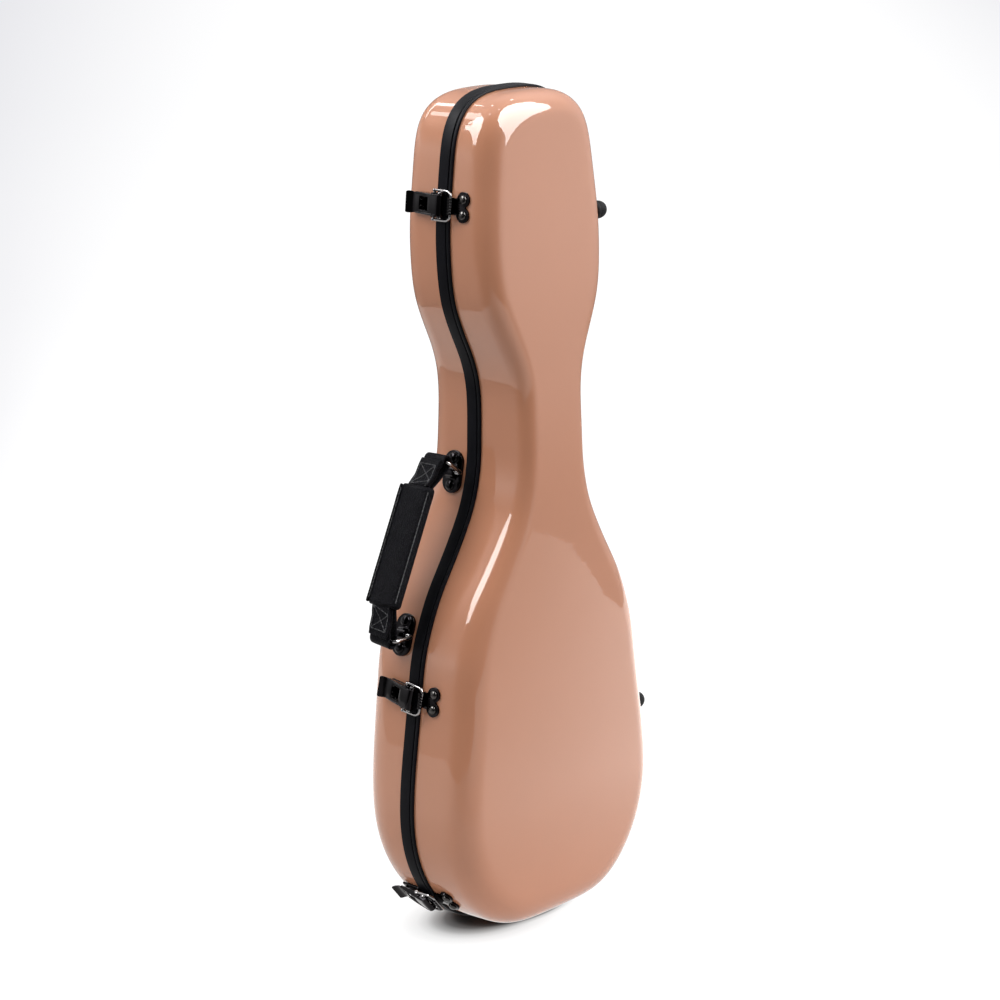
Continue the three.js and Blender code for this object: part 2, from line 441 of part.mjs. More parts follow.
function hinge(name, i) {
  const g = new THREE.Group();
  const [nx, nz] = HINGE.n, [px, pz] = OUTLINE[i];
  const m = new THREE.Matrix4().makeBasis(new THREE.Vector3(nx, 0, nz), new THREE.Vector3(0, -1, 0), new THREE.Vector3(nz, 0, -nx));
  m.setPosition(px, 0, pz);
  m.decompose(g.position, g.quaternion, g.scale);
  model.add(g);
  const R = 2.6, K = 15, x = AXIS_OUT;
  const knuckle = (z0, z1) => rodZ(R, x, 0, z0, z1, 14);
  const bore = rodZ(1.35, x, 0, -20, 20, 12);
  const leaf = (s, from, z0, z1) => prism([[2.4, s * from], [3.9, s * from], [3.9, s * 22], [0.3, s * 22], [0.3, s * (s < 0 ? 12.3 : 4.0)], [2.4, s * (s < 0 ? 12.3 : 4.0)]], z0, z1);
  const web = (s, z0, z1) => prism([[2.5, s * 3.2], [3.9, s * 3.2], [6.6, s * 2.2], [4.0, s * 0.5], [2.9, s * 0.6]], z0, z1);
  // base leaf carries the two outer knuckles, lid leaf the middle one (local -y is the base side)
  named(`${name}_hinge_base_leaf`, cut(join(leaf(-1, 3.1, -K, K), knuckle(5.2, K), knuckle(-K, -5.2), web(-1, 5.2, K), web(-1, -K, -5.2)), bore), BLACK_NICKEL, g);
  named(`${name}_hinge_lid_leaf`, cut(join(leaf(1, 3.1, -K, K), knuckle(-4.8, 4.8), web(1, -4.8, 4.8)), bore), BLACK_NICKEL, g);
  named(`${name}_hinge_pin`, join(rodZ(1.05, x, 0, -K - 0.6, K + 0.6, 12), rodZ(2.0, x, 0, K + 0.3, K + 1.5, 12), rodZ(2.0, x, 0, -K - 1.5, -K - 0.3, 12)), BRIGHT_NICKEL, g);
}
hinge('upper', HINGE.b);
hinge('lower', HINGE.a);

// ---------------------------------------------------------------- rubber feet
const FOOT = [[0, 0], [7.5, 0], [7.5, 3.0], [6.9, 6.2], [5.2, 9.0], [2.8, 10.6], [0, 11.2]];
function sideFoot(name, part, x, z, y) {
  const i = nearest(x, z), [nx, nz] = NORMALS[i];
  const D = part.depthAt(OUTLINE[i][1]), R = part.radiusAt(OUTLINE[i][1]), flat = D - R;
  const al = Math.asin(Math.min(Math.max((y - flat) / R, 0), 1));
  const tan = Math.tan(part.draft * Math.PI / 180);
  const [ix, iz] = inset(i, tan * Math.min(y, flat) + R * (1 - Math.cos(al)));
  const dir = new THREE.Vector3(nx * Math.cos(al), part.side * Math.sin(al), nz * Math.cos(al));
  const g = new THREE.Group();
  g.quaternion.setFromUnitVectors(new THREE.Vector3(0, 1, 0), dir);
  g.position.set(ix, part.side * y, iz).addScaledVector(dir, 1.1);
  model.add(g);
  named(name, lathe(FOOT, 16), RUBBER, g);
}
sideFoot('side_foot_lid_upper', LID, 72.8, 567, 27.8);
sideFoot('side_foot_lid_lower', LID, 117.7, 148, 36);
sideFoot('side_foot_base_upper', BASE, 72.8, 567, 30);
sideFoot('side_foot_base_lower', BASE, 117.7, 148, 34);
const BOTTOM_X = 36, FLOOR = -4.2;
for (const [name, x, y] of [['bottom_foot_lid_left', -BOTTOM_X, -21], ['bottom_foot_lid_right', BOTTOM_X, -21], ['bottom_foot_base_left', -BOTTOM_X, 20.5], ['bottom_foot_base_right', BOTTOM_X, 20.5]]) {
  named(name, lathe([[0, 0], [5.6, 0], [7.2, 1.2], [7.6, 3.9], [0, 3.9]], 16).translate(x, 0, 0).rotateX(0).applyMatrix4(new THREE.Matrix4().set(1, 0, 0, 0, 0, 0, -1, y, 0, 1, 0, FLOOR, 0, 0, 0, 1)), RUBBER);
}

// ---------------------------------------------------------------- inside the base: neck cradle and accessory compartment
const floorAt = (z) => BASE.depthAt(z) - LINE_OUT - LINING_FLOOR;      // height of the lining's face
{
  const z0 = 392, z1 = 420, w = 25, top = 2.5, deep = Math.min(floorAt(z0), floorAt(z1)) - 1.5;
  const pts = [[-w, deep - 9], [-w, top + 2], [-w + 2, top], [-20.5, top]];
  for (let k = 1; k < 8; k++) { const a = Math.PI * k / 8; pts.push([-20.5 * Math.cos(a), top + 15 * Math.sin(a)]); }
  pts.push([20.5, top], [w - 2, top], [w, top + 2], [w, deep - 9], [w - 9, deep], [-w + 9, deep]);
  const g = new THREE.ExtrudeGeometry(shapeOf(pts), { depth: z1 - z0, bevelEnabled: false }).translate(0, 0, z0);
  named('neck_cradle', g, PLUSH);
}
const BOX = { z0: 508, z1: 556, w: 46, top: 13, wall: 3 };
{
  const deep = Math.min(floorAt(BOX.z0), floorAt(BOX.z1)) - 0.6;
  named('accessory_tray', cut(span(-BOX.w, BOX.w, BOX.top, deep, BOX.z0, BOX.z1), span(-BOX.w + BOX.wall, BOX.w - BOX.wall, BOX.top - 5, deep - 2, BOX.z0 + BOX.wall, BOX.z1 - BOX.wall)), PLUSH);
  const y1 = BOX.top - 0.4, y0 = y1 - 2.6;
  const edge = [[BOX.z0 + 0.3, y0 + 0.8], [BOX.z0 + 1.1, y0], [BOX.z1 - 5.5, y0], [BOX.z1 - 4.5, y0 + 0.8], [BOX.z1 - 4.5, y1], [BOX.z0 + 0.3, y1]];
  named('accessory_lid', alongX(edge, -BOX.w + 1, BOX.w - 1), PLUSH);
  // ribbon tab that lifts the lid, sewn to its free edge
  const ribbon = [[BOX.z1 - 4.2, y1], [BOX.z1 - 4.2, y0 - 0.2], [BOX.z1 - 10, y0 - 0.3], [BOX.z1 - 10, y0 - 1.4], [BOX.z1 - 3.1, y0 - 1.3], [BOX.z1 - 3.1, y1]];
  named('accessory_lid_tab', alongX(ribbon, -8, 8), RIBBON);
}

// ---------------------------------------------------------------- origin: middle of the footprint, on the surface it stands on
for (const mesh of model.children) mesh.updateMatrixWorld(true);
model.updateMatrixWorld(true);
const whole = new THREE.Box3();
model.traverse((o) => {
  if (!o.isMesh) return;
  const p = o.geometry.attributes.position, v = new THREE.Vector3();
  for (let i = 0; i < p.count; i++) whole.expandByPoint(v.fromBufferAttribute(p, i).applyMatrix4(o.matrixWorld));
});
model.position.set(-(whole.min.x + whole.max.x) / 2, -(whole.min.y + whole.max.y) / 2, -whole.min.z);
model.userData = { hinge: HINGE, up: UP, low: LOW, handleY: HANDLE_Y, box: BOX, leverAxis: LEVER_AXIS, linkAxis: LINK_AXIS };

export default model;
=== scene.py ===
# Ukulele case: finished surfaces, fittings and materials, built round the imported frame.
# Millimetres in the part's own drawing frame (y = 0 is the parting plane, z = 0 the shell's lowest point),
# moved and scaled to metres in the row frame when each mesh is made.
import math

import bmesh
import bpy
import numpy as np
from mathutils import Matrix, Vector, noise


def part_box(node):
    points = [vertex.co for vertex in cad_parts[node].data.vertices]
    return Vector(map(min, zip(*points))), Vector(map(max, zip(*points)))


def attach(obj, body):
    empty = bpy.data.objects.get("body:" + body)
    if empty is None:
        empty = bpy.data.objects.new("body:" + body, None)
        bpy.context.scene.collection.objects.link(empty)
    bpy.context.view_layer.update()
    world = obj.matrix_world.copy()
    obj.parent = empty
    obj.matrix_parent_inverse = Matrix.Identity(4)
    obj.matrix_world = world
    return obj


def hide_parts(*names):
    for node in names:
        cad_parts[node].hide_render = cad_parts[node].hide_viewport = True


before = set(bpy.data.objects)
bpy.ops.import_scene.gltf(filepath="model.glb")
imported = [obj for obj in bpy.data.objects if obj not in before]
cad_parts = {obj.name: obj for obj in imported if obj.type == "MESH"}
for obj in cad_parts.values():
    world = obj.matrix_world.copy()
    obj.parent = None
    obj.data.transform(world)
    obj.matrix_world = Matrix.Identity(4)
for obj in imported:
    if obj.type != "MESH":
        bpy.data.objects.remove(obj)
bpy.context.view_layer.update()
_lo, _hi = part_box("lid_shell")
_blo, _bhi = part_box("base_edge_band")
SHIFT = np.array([(_lo.x + _hi.x) * 500.0, _blo.y * 1000.0 - 0.4, _lo.z * 1000.0])

# ------------------------------------------------------------------ driving dimensions, as in the construction
CASE_HEIGHT = 670.0
KNOT_Z = [0, 45, 90, 130, 165, 200, 230, 255, 280, 300, 320, 340, 360, 380, 400, 420, 440, 460, 480, 505, 535, 570, 610, 670]
KNOT_W = [84.66, 108.3, 120.45, 120.06, 115.53, 110.56, 105.85, 97.49, 85.06, 71.66, 58.69, 47.66, 40.9, 37.65, 37.0, 36.95, 38.69, 44.6, 54.55, 65.88, 71.66, 72.74, 70.36, 78.96]
TOP_CAP = (96.1, 2.928)
BOTTOM_CAP = (122.44, 4.5)
WALL = 3.0
BAND_PROUD = 2.1
BASE_BAND_W = 10.6
LID_BAND_W = 3.2
PARTING_GAP = 0.4
GAP = 0.3
RING_N = 72
HANDLE_Y = 23.5
TUNNEL = 4.2
RING_WIRE = 1.5
RING_LEN, RING_WID = 20.5, 25.5
LEVER_AXIS = (6.2, -5.5)
LINK_AXIS = (5.9, -11.5)
LATCH_SHIFT = 2.0
AXIS_OUT = 5.8


def natural(xs, ys):
    """Natural cubic spline, vectorised."""
    xs, ys = np.array(xs, float), np.array(ys, float)
    n = len(xs)
    h = np.diff(xs)
    a = np.zeros((n, n))
    r = np.zeros(n)
    a[0, 0] = a[-1, -1] = 1
    for i in range(1, n - 1):
        a[i, i - 1], a[i, i], a[i, i + 1] = h[i - 1], 2 * (h[i - 1] + h[i]), h[i]
        r[i] = 3 * (ys[i + 1] - ys[i]) / h[i] - 3 * (ys[i] - ys[i - 1]) / h[i - 1]
    c = np.linalg.solve(a, r)
    b = (ys[1:] - ys[:-1]) / h - h * (c[1:] + 2 * c[:-1]) / 3
    d = (c[1:] - c[:-1]) / (3 * h)

    def f(x):
        x = np.asarray(x, float)
        j = np.clip(np.searchsorted(xs, x, side="left") - 1, 0, n - 2)
        t = x - xs[j]
        return ys[j] + b[j] * t + c[j] * t * t + d[j] * t ** 3

    return f


half_width = natural(KNOT_Z, KNOT_W)


class Half:
    def __init__(self, side, z, depth, radius, draft, crown):
        self.side, self.depth, self.radius, self.tan, self.crown = side, natural(z, depth), natural(z, radius), math.tan(math.radians(draft)), crown


LID = Half(-1, [0, 130, 260, 380, 500, 670], [60.0, 56.9, 52.9, 52.7, 46.4, 35.9], [24.5, 20.5, 18.0, 12.5, 16.0, 18.5], 0.2, 5.0)
BASE = Half(1, [0, 220, 440, 670], [54.6, 62.1, 54.2, 48.4], [33.4, 27.5, 22.0, 16.2], 1.94, 4.0)
SOFTER = 2.3          # power of the rounding between side wall and face: 2 would be a plain arc
SOFT_R = 1.126        # the same corner reach as a plain arc

# ------------------------------------------------------------------ outline, and rings inside it
FINE = 720


def half_outline():
    m = 400
    t = np.pi / 2 * np.arange(m, -1, -1) / m
    z = BOTTOM_CAP[0] * (1 - np.sin(t) ** (2 / BOTTOM_CAP[1]))
    p = [np.stack([half_width(z) * np.abs(np.cos(t)) ** (2 / BOTTOM_CAP[1]), z], 1)]
    z0, z1 = BOTTOM_CAP[0], CASE_HEIGHT - TOP_CAP[0]
    z = z0 + (z1 - z0) * np.arange(1, 800) / 800
    p.append(np.stack([half_width(z), z], 1))
    t = np.pi / 2 * np.arange(0, m + 1) / m
    z = z1 + TOP_CAP[0] * np.sin(t) ** (2 / TOP_CAP[1])
    p.append(np.stack([half_width(z) * np.abs(np.cos(t)) ** (2 / TOP_CAP[1]), z], 1))
    p = np.concatenate(p)
    p[0] = [0, 0]
    p[-1] = [0, CASE_HEIGHT]
    return p


def resample(p, count):
    s = np.concatenate([[0], np.cumsum(np.hypot(*np.diff(p, axis=0).T))])
    E = 1200
    even = np.stack([np.interp(s[-1] * np.arange(E + 1) / E, s, p[:, k]) for k in (0, 1)], 1)
    turn = np.zeros(E + 1)
    i = np.arange(6, E - 5)
    u, v = even[i] - even[i - 6], even[i + 6] - even[i]
    turn[i] = np.abs(np.arctan2(v[:, 1], v[:, 0]) - np.arctan2(u[:, 1], u[:, 0])) / 6
    w = np.concatenate([[0], np.cumsum(np.hypot(*np.diff(even, axis=0).T) + 60 * (turn[1:] + turn[:-1]) / 2)])
    k = w[-1] * np.arange(count + 1) / count
    return np.stack([np.interp(k, w, even[:, 0]), np.interp(k, w, even[:, 1])], 1)


half = resample(half_outline(), FINE // 2)
half[0, 0] = half[-1, 0] = 0
OUTLINE = np.concatenate([half, half[1:-1][::-1] * [-1, 1]])


def normals_of(p):
    t = np.roll(p, -1, 0) - np.roll(p, 1, 0)
    t /= np.linalg.norm(t, axis=1)[:, None]
    return np.stack([t[:, 1], -t[:, 0]], 1)


NORMALS = normals_of(OUTLINE)
STEP = 0.5
_rings = [OUTLINE]
for _ in range(116):
    q = _rings[-1] - normals_of(_rings[-1]) * STEP
    _rings.append(q + 0.12 * (np.roll(q, 1, 0) + np.roll(q, -1, 0) - 2 * q))
INSET = np.array(_rings)
ALL = np.arange(FINE)


def inset(i, d):
    """Points i of the outline, moved inwards by d each (outwards if negative)."""
    i = np.asarray(i)
    d = np.broadcast_to(np.asarray(d, float), i.shape)
    k = np.clip(np.floor(d / STEP).astype(int), 0, len(INSET) - 2)
    t = (d / STEP - k)[:, None]
    inner = INSET[k, i] * (1 - t) + INSET[k + 1, i] * t
    return np.where((d <= 0)[:, None], OUTLINE[i] - NORMALS[i] * d[:, None], inner)


def nearest(x, z):
    return int(np.argmin(np.hypot(OUTLINE[:, 0] - x, OUTLINE[:, 1] - z)))


# ------------------------------------------------------------------ meshes
def weld(v, f):
    key = np.round(np.asarray(v) / 2e-5).astype(np.int64)
    _, first, inverse = np.unique(key, axis=0, return_index=True, return_inverse=True)
    inverse = inverse.ravel()
    faces = []
    for p in f:
        q = []
        for i in p:
            j = int(inverse[i])
            if not q or (q[-1] != j):
                q.append(j)
        if len(q) > 1 and q[0] == q[-1]:
            q.pop()
        if len(set(q)) == len(q) and len(q) > 2:
            faces.append(q)
    return np.asarray(v)[first], faces


def make_mesh(name, v, f, material, angle=38.0):
    """v in millimetres in the drawing frame. Faces are turned to point outwards."""
    me = bpy.data.meshes.new(name)
    me.from_pydata(((np.asarray(v) + SHIFT) * 0.001).tolist(), [], [list(map(int, p)) for p in f])
    bm = bmesh.new()
    bm.from_mesh(me)
    bmesh.ops.recalc_face_normals(bm, faces=bm.faces)
    bm.to_mesh(me)
    bm.free()
    me.polygons.foreach_set("use_smooth", [True] * len(me.polygons))
    me.set_sharp_from_angle(angle=math.radians(angle))
    me.materials.append(material)
    me.update()
    o = bpy.data.objects.new(name, me)
    bpy.context.scene.collection.objects.link(o)
    return o


def put(o, body, nodes):
    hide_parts(*([nodes] if isinstance(nodes, str) else nodes))
    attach(o, body)
    return o


def loft(rings, closed):
    n = len(rings[0])
    v = np.concatenate(rings)
    f = []
    last = len(rings) if closed else len(rings) - 1
    for k in range(last):
        a, b = k * n, ((k + 1) % len(rings)) * n
        for i in range(n):
            j = (i + 1) % n
            f.append([a + i, a + j, b + j, b + i])
    return v, f


def from_bm(bm):
    bm.verts.index_update()
    g = np.array([x.co[:] for x in bm.verts]), [[x.index for x in p.verts] for p in bm.faces]
    bm.free()
    return g


def bevelled(bm, bev, seg, sharp=0.6):
    bmesh.ops.recalc_face_normals(bm, faces=bm.faces)
    if bev > 0:
        edges = [e for e in bm.edges if len(e.link_faces) == 2 and e.calc_face_angle(0) > sharp]
        bmesh.ops.bevel(bm, geom=edges, offset=bev, offset_type="OFFSET", segments=seg, profile=0.5, affect="EDGES", clamp_overlap=True)
    return from_bm(bm)


def prism(points, h0, h1, bev=0.25, seg=2, sharp=0.6):
    """Outline in x, y, pulled along z."""
    bm = bmesh.new()
    a = [bm.verts.new((x, y, h0)) for x, y in points]
    b = [bm.verts.new((x, y, h1)) for x, y in points]
    bm.faces.new(a[::-1])
    bm.faces.new(b)
    n = len(points)
    for i in range(n):
        j = (i + 1) % n
        bm.faces.new((a[i], a[j], b[j], b[i]))
    return bevelled(bm, bev, seg, sharp)


def box(x0, x1, y0, y1, z0, z1, bev=0.25, seg=2):
    return prism([(x0, y0), (x1, y0), (x1, y1), (x0, y1)], z0, z1, bev, seg)


def lattice(us, vs, keep, fmap, bev=0.25, seg=2, sharp=0.6):
    """A plate on a grid of cells, with cells left out, mapped to any shape. fmap(u, v, w), w is 0 or 1 through the thickness."""
    bm = bmesh.new()
    node = {}

    def vert(i, j, w):
        if (i, j, w) not in node:
            node[i, j, w] = bm.verts.new(fmap(us[i], vs[j], w))
        return node[i, j, w]

    on = {(i, j) for i in range(len(us) - 1) for j in range(len(vs) - 1) if keep((us[i] + us[i + 1]) / 2, (vs[j] + vs[j + 1]) / 2)}
    for i, j in sorted(on):
        bm.faces.new([vert(i, j, 1), vert(i + 1, j, 1), vert(i + 1, j + 1, 1), vert(i, j + 1, 1)])
        bm.faces.new([vert(i, j + 1, 0), vert(i + 1, j + 1, 0), vert(i + 1, j, 0), vert(i, j, 0)])
        for di, dj, (p, q) in ((-1, 0, ((i, j + 1), (i, j))), (1, 0, ((i + 1, j), (i + 1, j + 1))), (0, -1, ((i, j), (i + 1, j))), (0, 1, ((i + 1, j + 1), (i, j + 1)))):
            if (i + di, j + dj) not in on:
                bm.faces.new([vert(*p, 1), vert(*p, 0), vert(*q, 0), vert(*q, 1)])
    return bevelled(bm, bev, seg, sharp)


def along(path, lengths=None):
    """Even parameter along a 2-D path: returns f(s) -> (point, unit tangent), and the length."""
    p = np.array(path, float)
    s = np.concatenate([[0], np.cumsum(np.hypot(*np.diff(p, axis=0).T))])
    t = np.gradient(p, s, axis=0)
    t /= np.linalg.norm(t, axis=1)[:, None]

    def f(x):
        q = np.array([np.interp(x, s, p[:, k]) for k in (0, 1)])
        d = np.array([np.interp(x, s, t[:, k]) for k in (0, 1)])
        return q, d / np.linalg.norm(d)

    return f, s[-1]


def rounded(corners, r, closed=False, k=6):
    """A polyline with its corners rounded by r (one number or one per corner)."""
    c = [np.array(x, float) for x in corners]
    n = len(c)
    rr = [r] * n if np.isscalar(r) else list(r)
    out = []
    for i in range(n):
        if not closed and i in (0, n - 1):
            out.append(c[i])
            continue
        a, b, d = c[i - 1], c[i], c[(i + 1) % n]
        u, w = (a - b), (d - b)
        lu, lw = np.linalg.norm(u), np.linalg.norm(w)
        q = min(rr[i], lu * 0.49, lw * 0.49)
        p0, p2 = b + u / lu * q, b + w / lw * q
        for s in np.linspace(0, 1, k + 1):
            out.append((1 - s) ** 2 * p0 + 2 * s * (1 - s) * b + s * s * p2)
    return np.array(out)


def tube(path, ra, rb, up, closed=False, n=16, ends=True):
    """Round or oval rod along a flat path; ra across the path in its plane, rb along up."""
    P = np.array(path, float)
    m = len(P)
    T = np.roll(P, -1, 0) - np.roll(P, 1, 0) if closed else np.gradient(P, axis=0)
    T /= np.linalg.norm(T, axis=1)[:, None]
    up = np.array(up, float) / np.linalg.norm(up)
    S = np.cross(T, up)
    S /= np.linalg.norm(S, axis=1)[:, None]
    a = 2 * np.pi * np.arange(n) / n
    rings = [P[i] + np.outer(np.cos(a) * ra, S[i]) + np.outer(np.sin(a) * rb, up) for i in range(m)]
    if not closed and ends:
        r = min(ra, rb)
        cap = lambda i, s, k: P[i] + T[i] * s * k + np.outer(np.cos(a) * (ra - r + math.sqrt(max(r * r - k * k, 0))), S[i]) + np.outer(np.sin(a) * (rb - r + math.sqrt(max(r * r - k * k, 0))), up)
        rings = [cap(0, -1, r * q) for q in (0.95, 0.8, 0.5)] + rings + [cap(m - 1, 1, r * q) for q in (0.5, 0.8, 0.95)]
    v, f = loft(rings, closed)
    if not closed:
        f += [list(range(n))[::-1], list(range(len(v) - n, len(v)))]
    return v, f


def rod(p0, p1, r, n=20, bev=0.3):
    """Straight rod with bevelled ends."""
    p0, p1 = np.array(p0, float), np.array(p1, float)
    d = p1 - p0
    L = np.linalg.norm(d)
    d /= L
    e = np.cross(d, [0.3, 0.5, 0.81])
    e /= np.linalg.norm(e)
    g = np.cross(d, e)
    a = 2 * np.pi * np.arange(n) / n
    ring = lambda s, q: p0 + d * s + np.outer(np.cos(a) * q, e) + np.outer(np.sin(a) * q, g)
    v, f = loft([ring(0, r - bev), ring(bev * 0.35, r - bev * 0.35), ring(bev, r), ring(L - bev, r), ring(L - bev * 0.35, r - bev * 0.35), ring(L, r - bev)], False)
    return v, f + [list(range(n))[::-1], list(range(len(v) - n, len(v)))]


def turned(profile, centre, axis, n=36):
    """Turned piece: profile of (radius, height) with the first and last on the axis."""
    d = np.array(axis, float) / np.linalg.norm(axis)
    e = np.cross(d, [0.3, 0.5, 0.81])
    e /= np.linalg.norm(e)
    g = np.cross(d, e)
    a = 2 * np.pi * np.arange(n) / n
    rings = [np.array(centre, float) + d * h + np.outer(np.cos(a) * r, e) + np.outer(np.sin(a) * r, g) for r, h in profile]
    return weld(*loft(rings, False))


def smooth_profile(points, r, k=5):
    return [tuple(p) for p in rounded([np.array(p, float) for p in points], r, False, k)]


class Piece:
    """Several closed meshes of one physical piece, in a local frame."""

    def __init__(self):
        self.v, self.f, self.n = [], [], 0

    def add(self, g, m=None):
        v, f = g
        v = np.asarray(v, float)
        if m is not None:
            v = v @ np.array(m)[:3, :3].T + (np.array(m)[:3, 3] if np.array(m).shape[0] > 3 else 0)
        self.v.append(v)
        self.f += [[i + self.n for i in p] for p in f]
        self.n += len(v)
        return self

    def place(self, name, place, material, body, nodes, slot, angle=38.0):
        o, b = place
        return put(make_mesh(name, np.concatenate(self.v) @ np.array(b).T + np.array(o), self.f, material, angle), body, nodes)


WORLD = (np.zeros(3), np.eye(3))
SWAP = np.array([[0, 0, 1], [1, 0, 0], [0, 1, 0]], float)      # (a, b, depth) -> (depth, a, b)


def fitting(i, y=0.0):
    """Local frame on the side wall: +X out, +Y towards the lid, +Z along the wall."""
    nx, nz = NORMALS[i]
    return np.array([OUTLINE[i, 0], y, OUTLINE[i, 1]]), np.array([[nx, 0, nz], [0, -1, 0], [nz, 0, -nx]]).T


# ------------------------------------------------------------------ materials
def material(name, color, rough=0.5, metal=0.0, **sockets):
    m = bpy.data.materials.new(name)
    m.use_nodes = True
    b = m.node_tree.nodes["Principled BSDF"]
    b.inputs["Base Color"].default_value = (*color, 1)
    b.inputs["Roughness"].default_value = rough
    b.inputs["Metallic"].default_value = metal
    for k, v in sockets.items():
        b.inputs[k.replace("_", " ")].default_value = v
    m.diffuse_color = (*color, 1)
    return m, m.node_tree, b


def add(nt, kind, links=(), **values):
    n = nt.nodes.new(kind)
    for k, v in values.items():
        if k.startswith("in_"):
            n.inputs[k[3:].replace("_", " ")].default_value = v
        else:
            setattr(n, k, v)
    for a, b in links:
        nt.links.new(a, n.inputs[b])
    return n


def coords(nt):
    return add(nt, "ShaderNodeTexCoord").outputs["Object"]


def noise_tex(nt, co, scale, detail=2.0, rough=0.5, distortion=0.0):
    n = add(nt, "ShaderNodeTexNoise", [(co, "Vector")])
    n.inputs["Scale"].default_value = scale
    n.inputs["Detail"].default_value = detail
    n.inputs["Roughness"].default_value = rough
    n.inputs["Distortion"].default_value = distortion
    return n.outputs["Fac"]


def ramp(nt, fac, stops):
    r = add(nt, "ShaderNodeValToRGB", [(fac, "Fac")])
    e = r.color_ramp.elements
    e[0].position, e[0].color = stops[0][0], (*stops[0][1], 1)
    e[1].position, e[1].color = stops[-1][0], (*stops[-1][1], 1)
    for p, c in stops[1:-1]:
        x = e.new(p)
        x.color = (*c, 1)
    return r.outputs["Color"]


def span(nt, fac, lo, hi, a=0.3, b=0.7):
    m = add(nt, "ShaderNodeMapRange", [(fac, "Value")])
    m.inputs["From Min"].default_value, m.inputs["From Max"].default_value = a, b
    m.inputs["To Min"].default_value, m.inputs["To Max"].default_value = lo, hi
    return m.outputs["Result"]


def bump(nt, height, strength, distance, normal=None):
    b = add(nt, "ShaderNodeBump", [(height, "Height")])
    b.inputs["Strength"].default_value = strength
    b.inputs["Distance"].default_value = distance
    if normal is not None:
        nt.links.new(normal, b.inputs["Normal"])
    return b.outputs["Normal"]


def mix_math(nt, op, a, b):
    m = add(nt, "ShaderNodeMath", operation=op)
    for k, x in ((0, a), (1, b)):
        if isinstance(x, (int, float)):
            m.inputs[k].default_value = x
        else:
            nt.links.new(x, m.inputs[k])
    return m.outputs[0]


def scaled(c, k):
    return tuple(min(x * k, 1.0) for x in c)


def make_gelcoat():
    c = PAINT
    m, nt, b = material("glossy_gelcoat", c, 0.45, 0.0, Coat_Weight=1.0, Coat_Roughness=0.02, Coat_IOR=1.48, Specular_IOR_Level=0.05)
    co = coords(nt)
    cloud = noise_tex(nt, co, 9.0, 3.0, 0.55)
    nt.links.new(ramp(nt, cloud, [(0.30, scaled(c, 0.975)), (0.55, c), (0.75, scaled(c, 1.02))]), b.inputs["Base Color"])
    nt.links.new(span(nt, noise_tex(nt, co, 60.0, 2.0), 0.42, 0.50), b.inputs["Roughness"])
    peel = bump(nt, noise_tex(nt, co, 150.0, 1.0, 0.4), 0.05, 0.0004)
    wave = bump(nt, noise_tex(nt, co, 22.0, 1.0, 0.4), 0.035, 0.003, peel)
    nt.links.new(wave, b.inputs["Coat Normal"])
    nt.links.new(peel, b.inputs["Normal"])
    return m


def make_inner_gelcoat():
    c = scaled(PAINT, 0.55)
    m, nt, b = material("raw_glass_fibre", c, 0.6)
    co = coords(nt)
    strands = add(nt, "ShaderNodeTexWave", [(co, "Vector")])
    strands.inputs["Scale"].default_value = 160.0
    strands.inputs["Distortion"].default_value = 6.0
    strands.inputs["Detail"].default_value = 3.0
    nt.links.new(ramp(nt, strands.outputs["Fac"], [(0.2, scaled(c, 0.8)), (0.9, scaled(c, 1.15))]), b.inputs["Base Color"])
    nt.links.new(bump(nt, strands.outputs["Fac"], 0.4, 0.0003), b.inputs["Normal"])
    return m


def make_rubber(name, c, r0, r1, grain=1400.0, strength=0.12):
    m, nt, b = material(name, c, (r0 + r1) / 2, 0.0, Specular_IOR_Level=0.055)
    co = coords(nt)
    fine = noise_tex(nt, co, grain, 2.0, 0.6)
    nt.links.new(ramp(nt, noise_tex(nt, co, 35.0, 3.0), [(0.3, scaled(c, 0.85)), (0.7, scaled(c, 1.2))]), b.inputs["Base Color"])
    nt.links.new(span(nt, noise_tex(nt, co, 80.0, 3.0), r0, r1), b.inputs["Roughness"])
    nt.links.new(bump(nt, fine, strength, 0.0001), b.inputs["Normal"])
    return m


def make_nickel(name, c, r0, r1):
    m, nt, b = material(name, c, (r0 + r1) / 2, 1.0)
    co = coords(nt)
    nt.links.new(ramp(nt, noise_tex(nt, co, 120.0, 3.0), [(0.3, scaled(c, 0.88)), (0.7, scaled(c, 1.12))]), b.inputs["Base Color"])
    nt.links.new(span(nt, noise_tex(nt, co, 260.0, 4.0, 0.6), r0, r1), b.inputs["Roughness"])
    nt.links.new(bump(nt, noise_tex(nt, co, 500.0, 2.0), 0.03, 0.0001), b.inputs["Normal"])
    return m


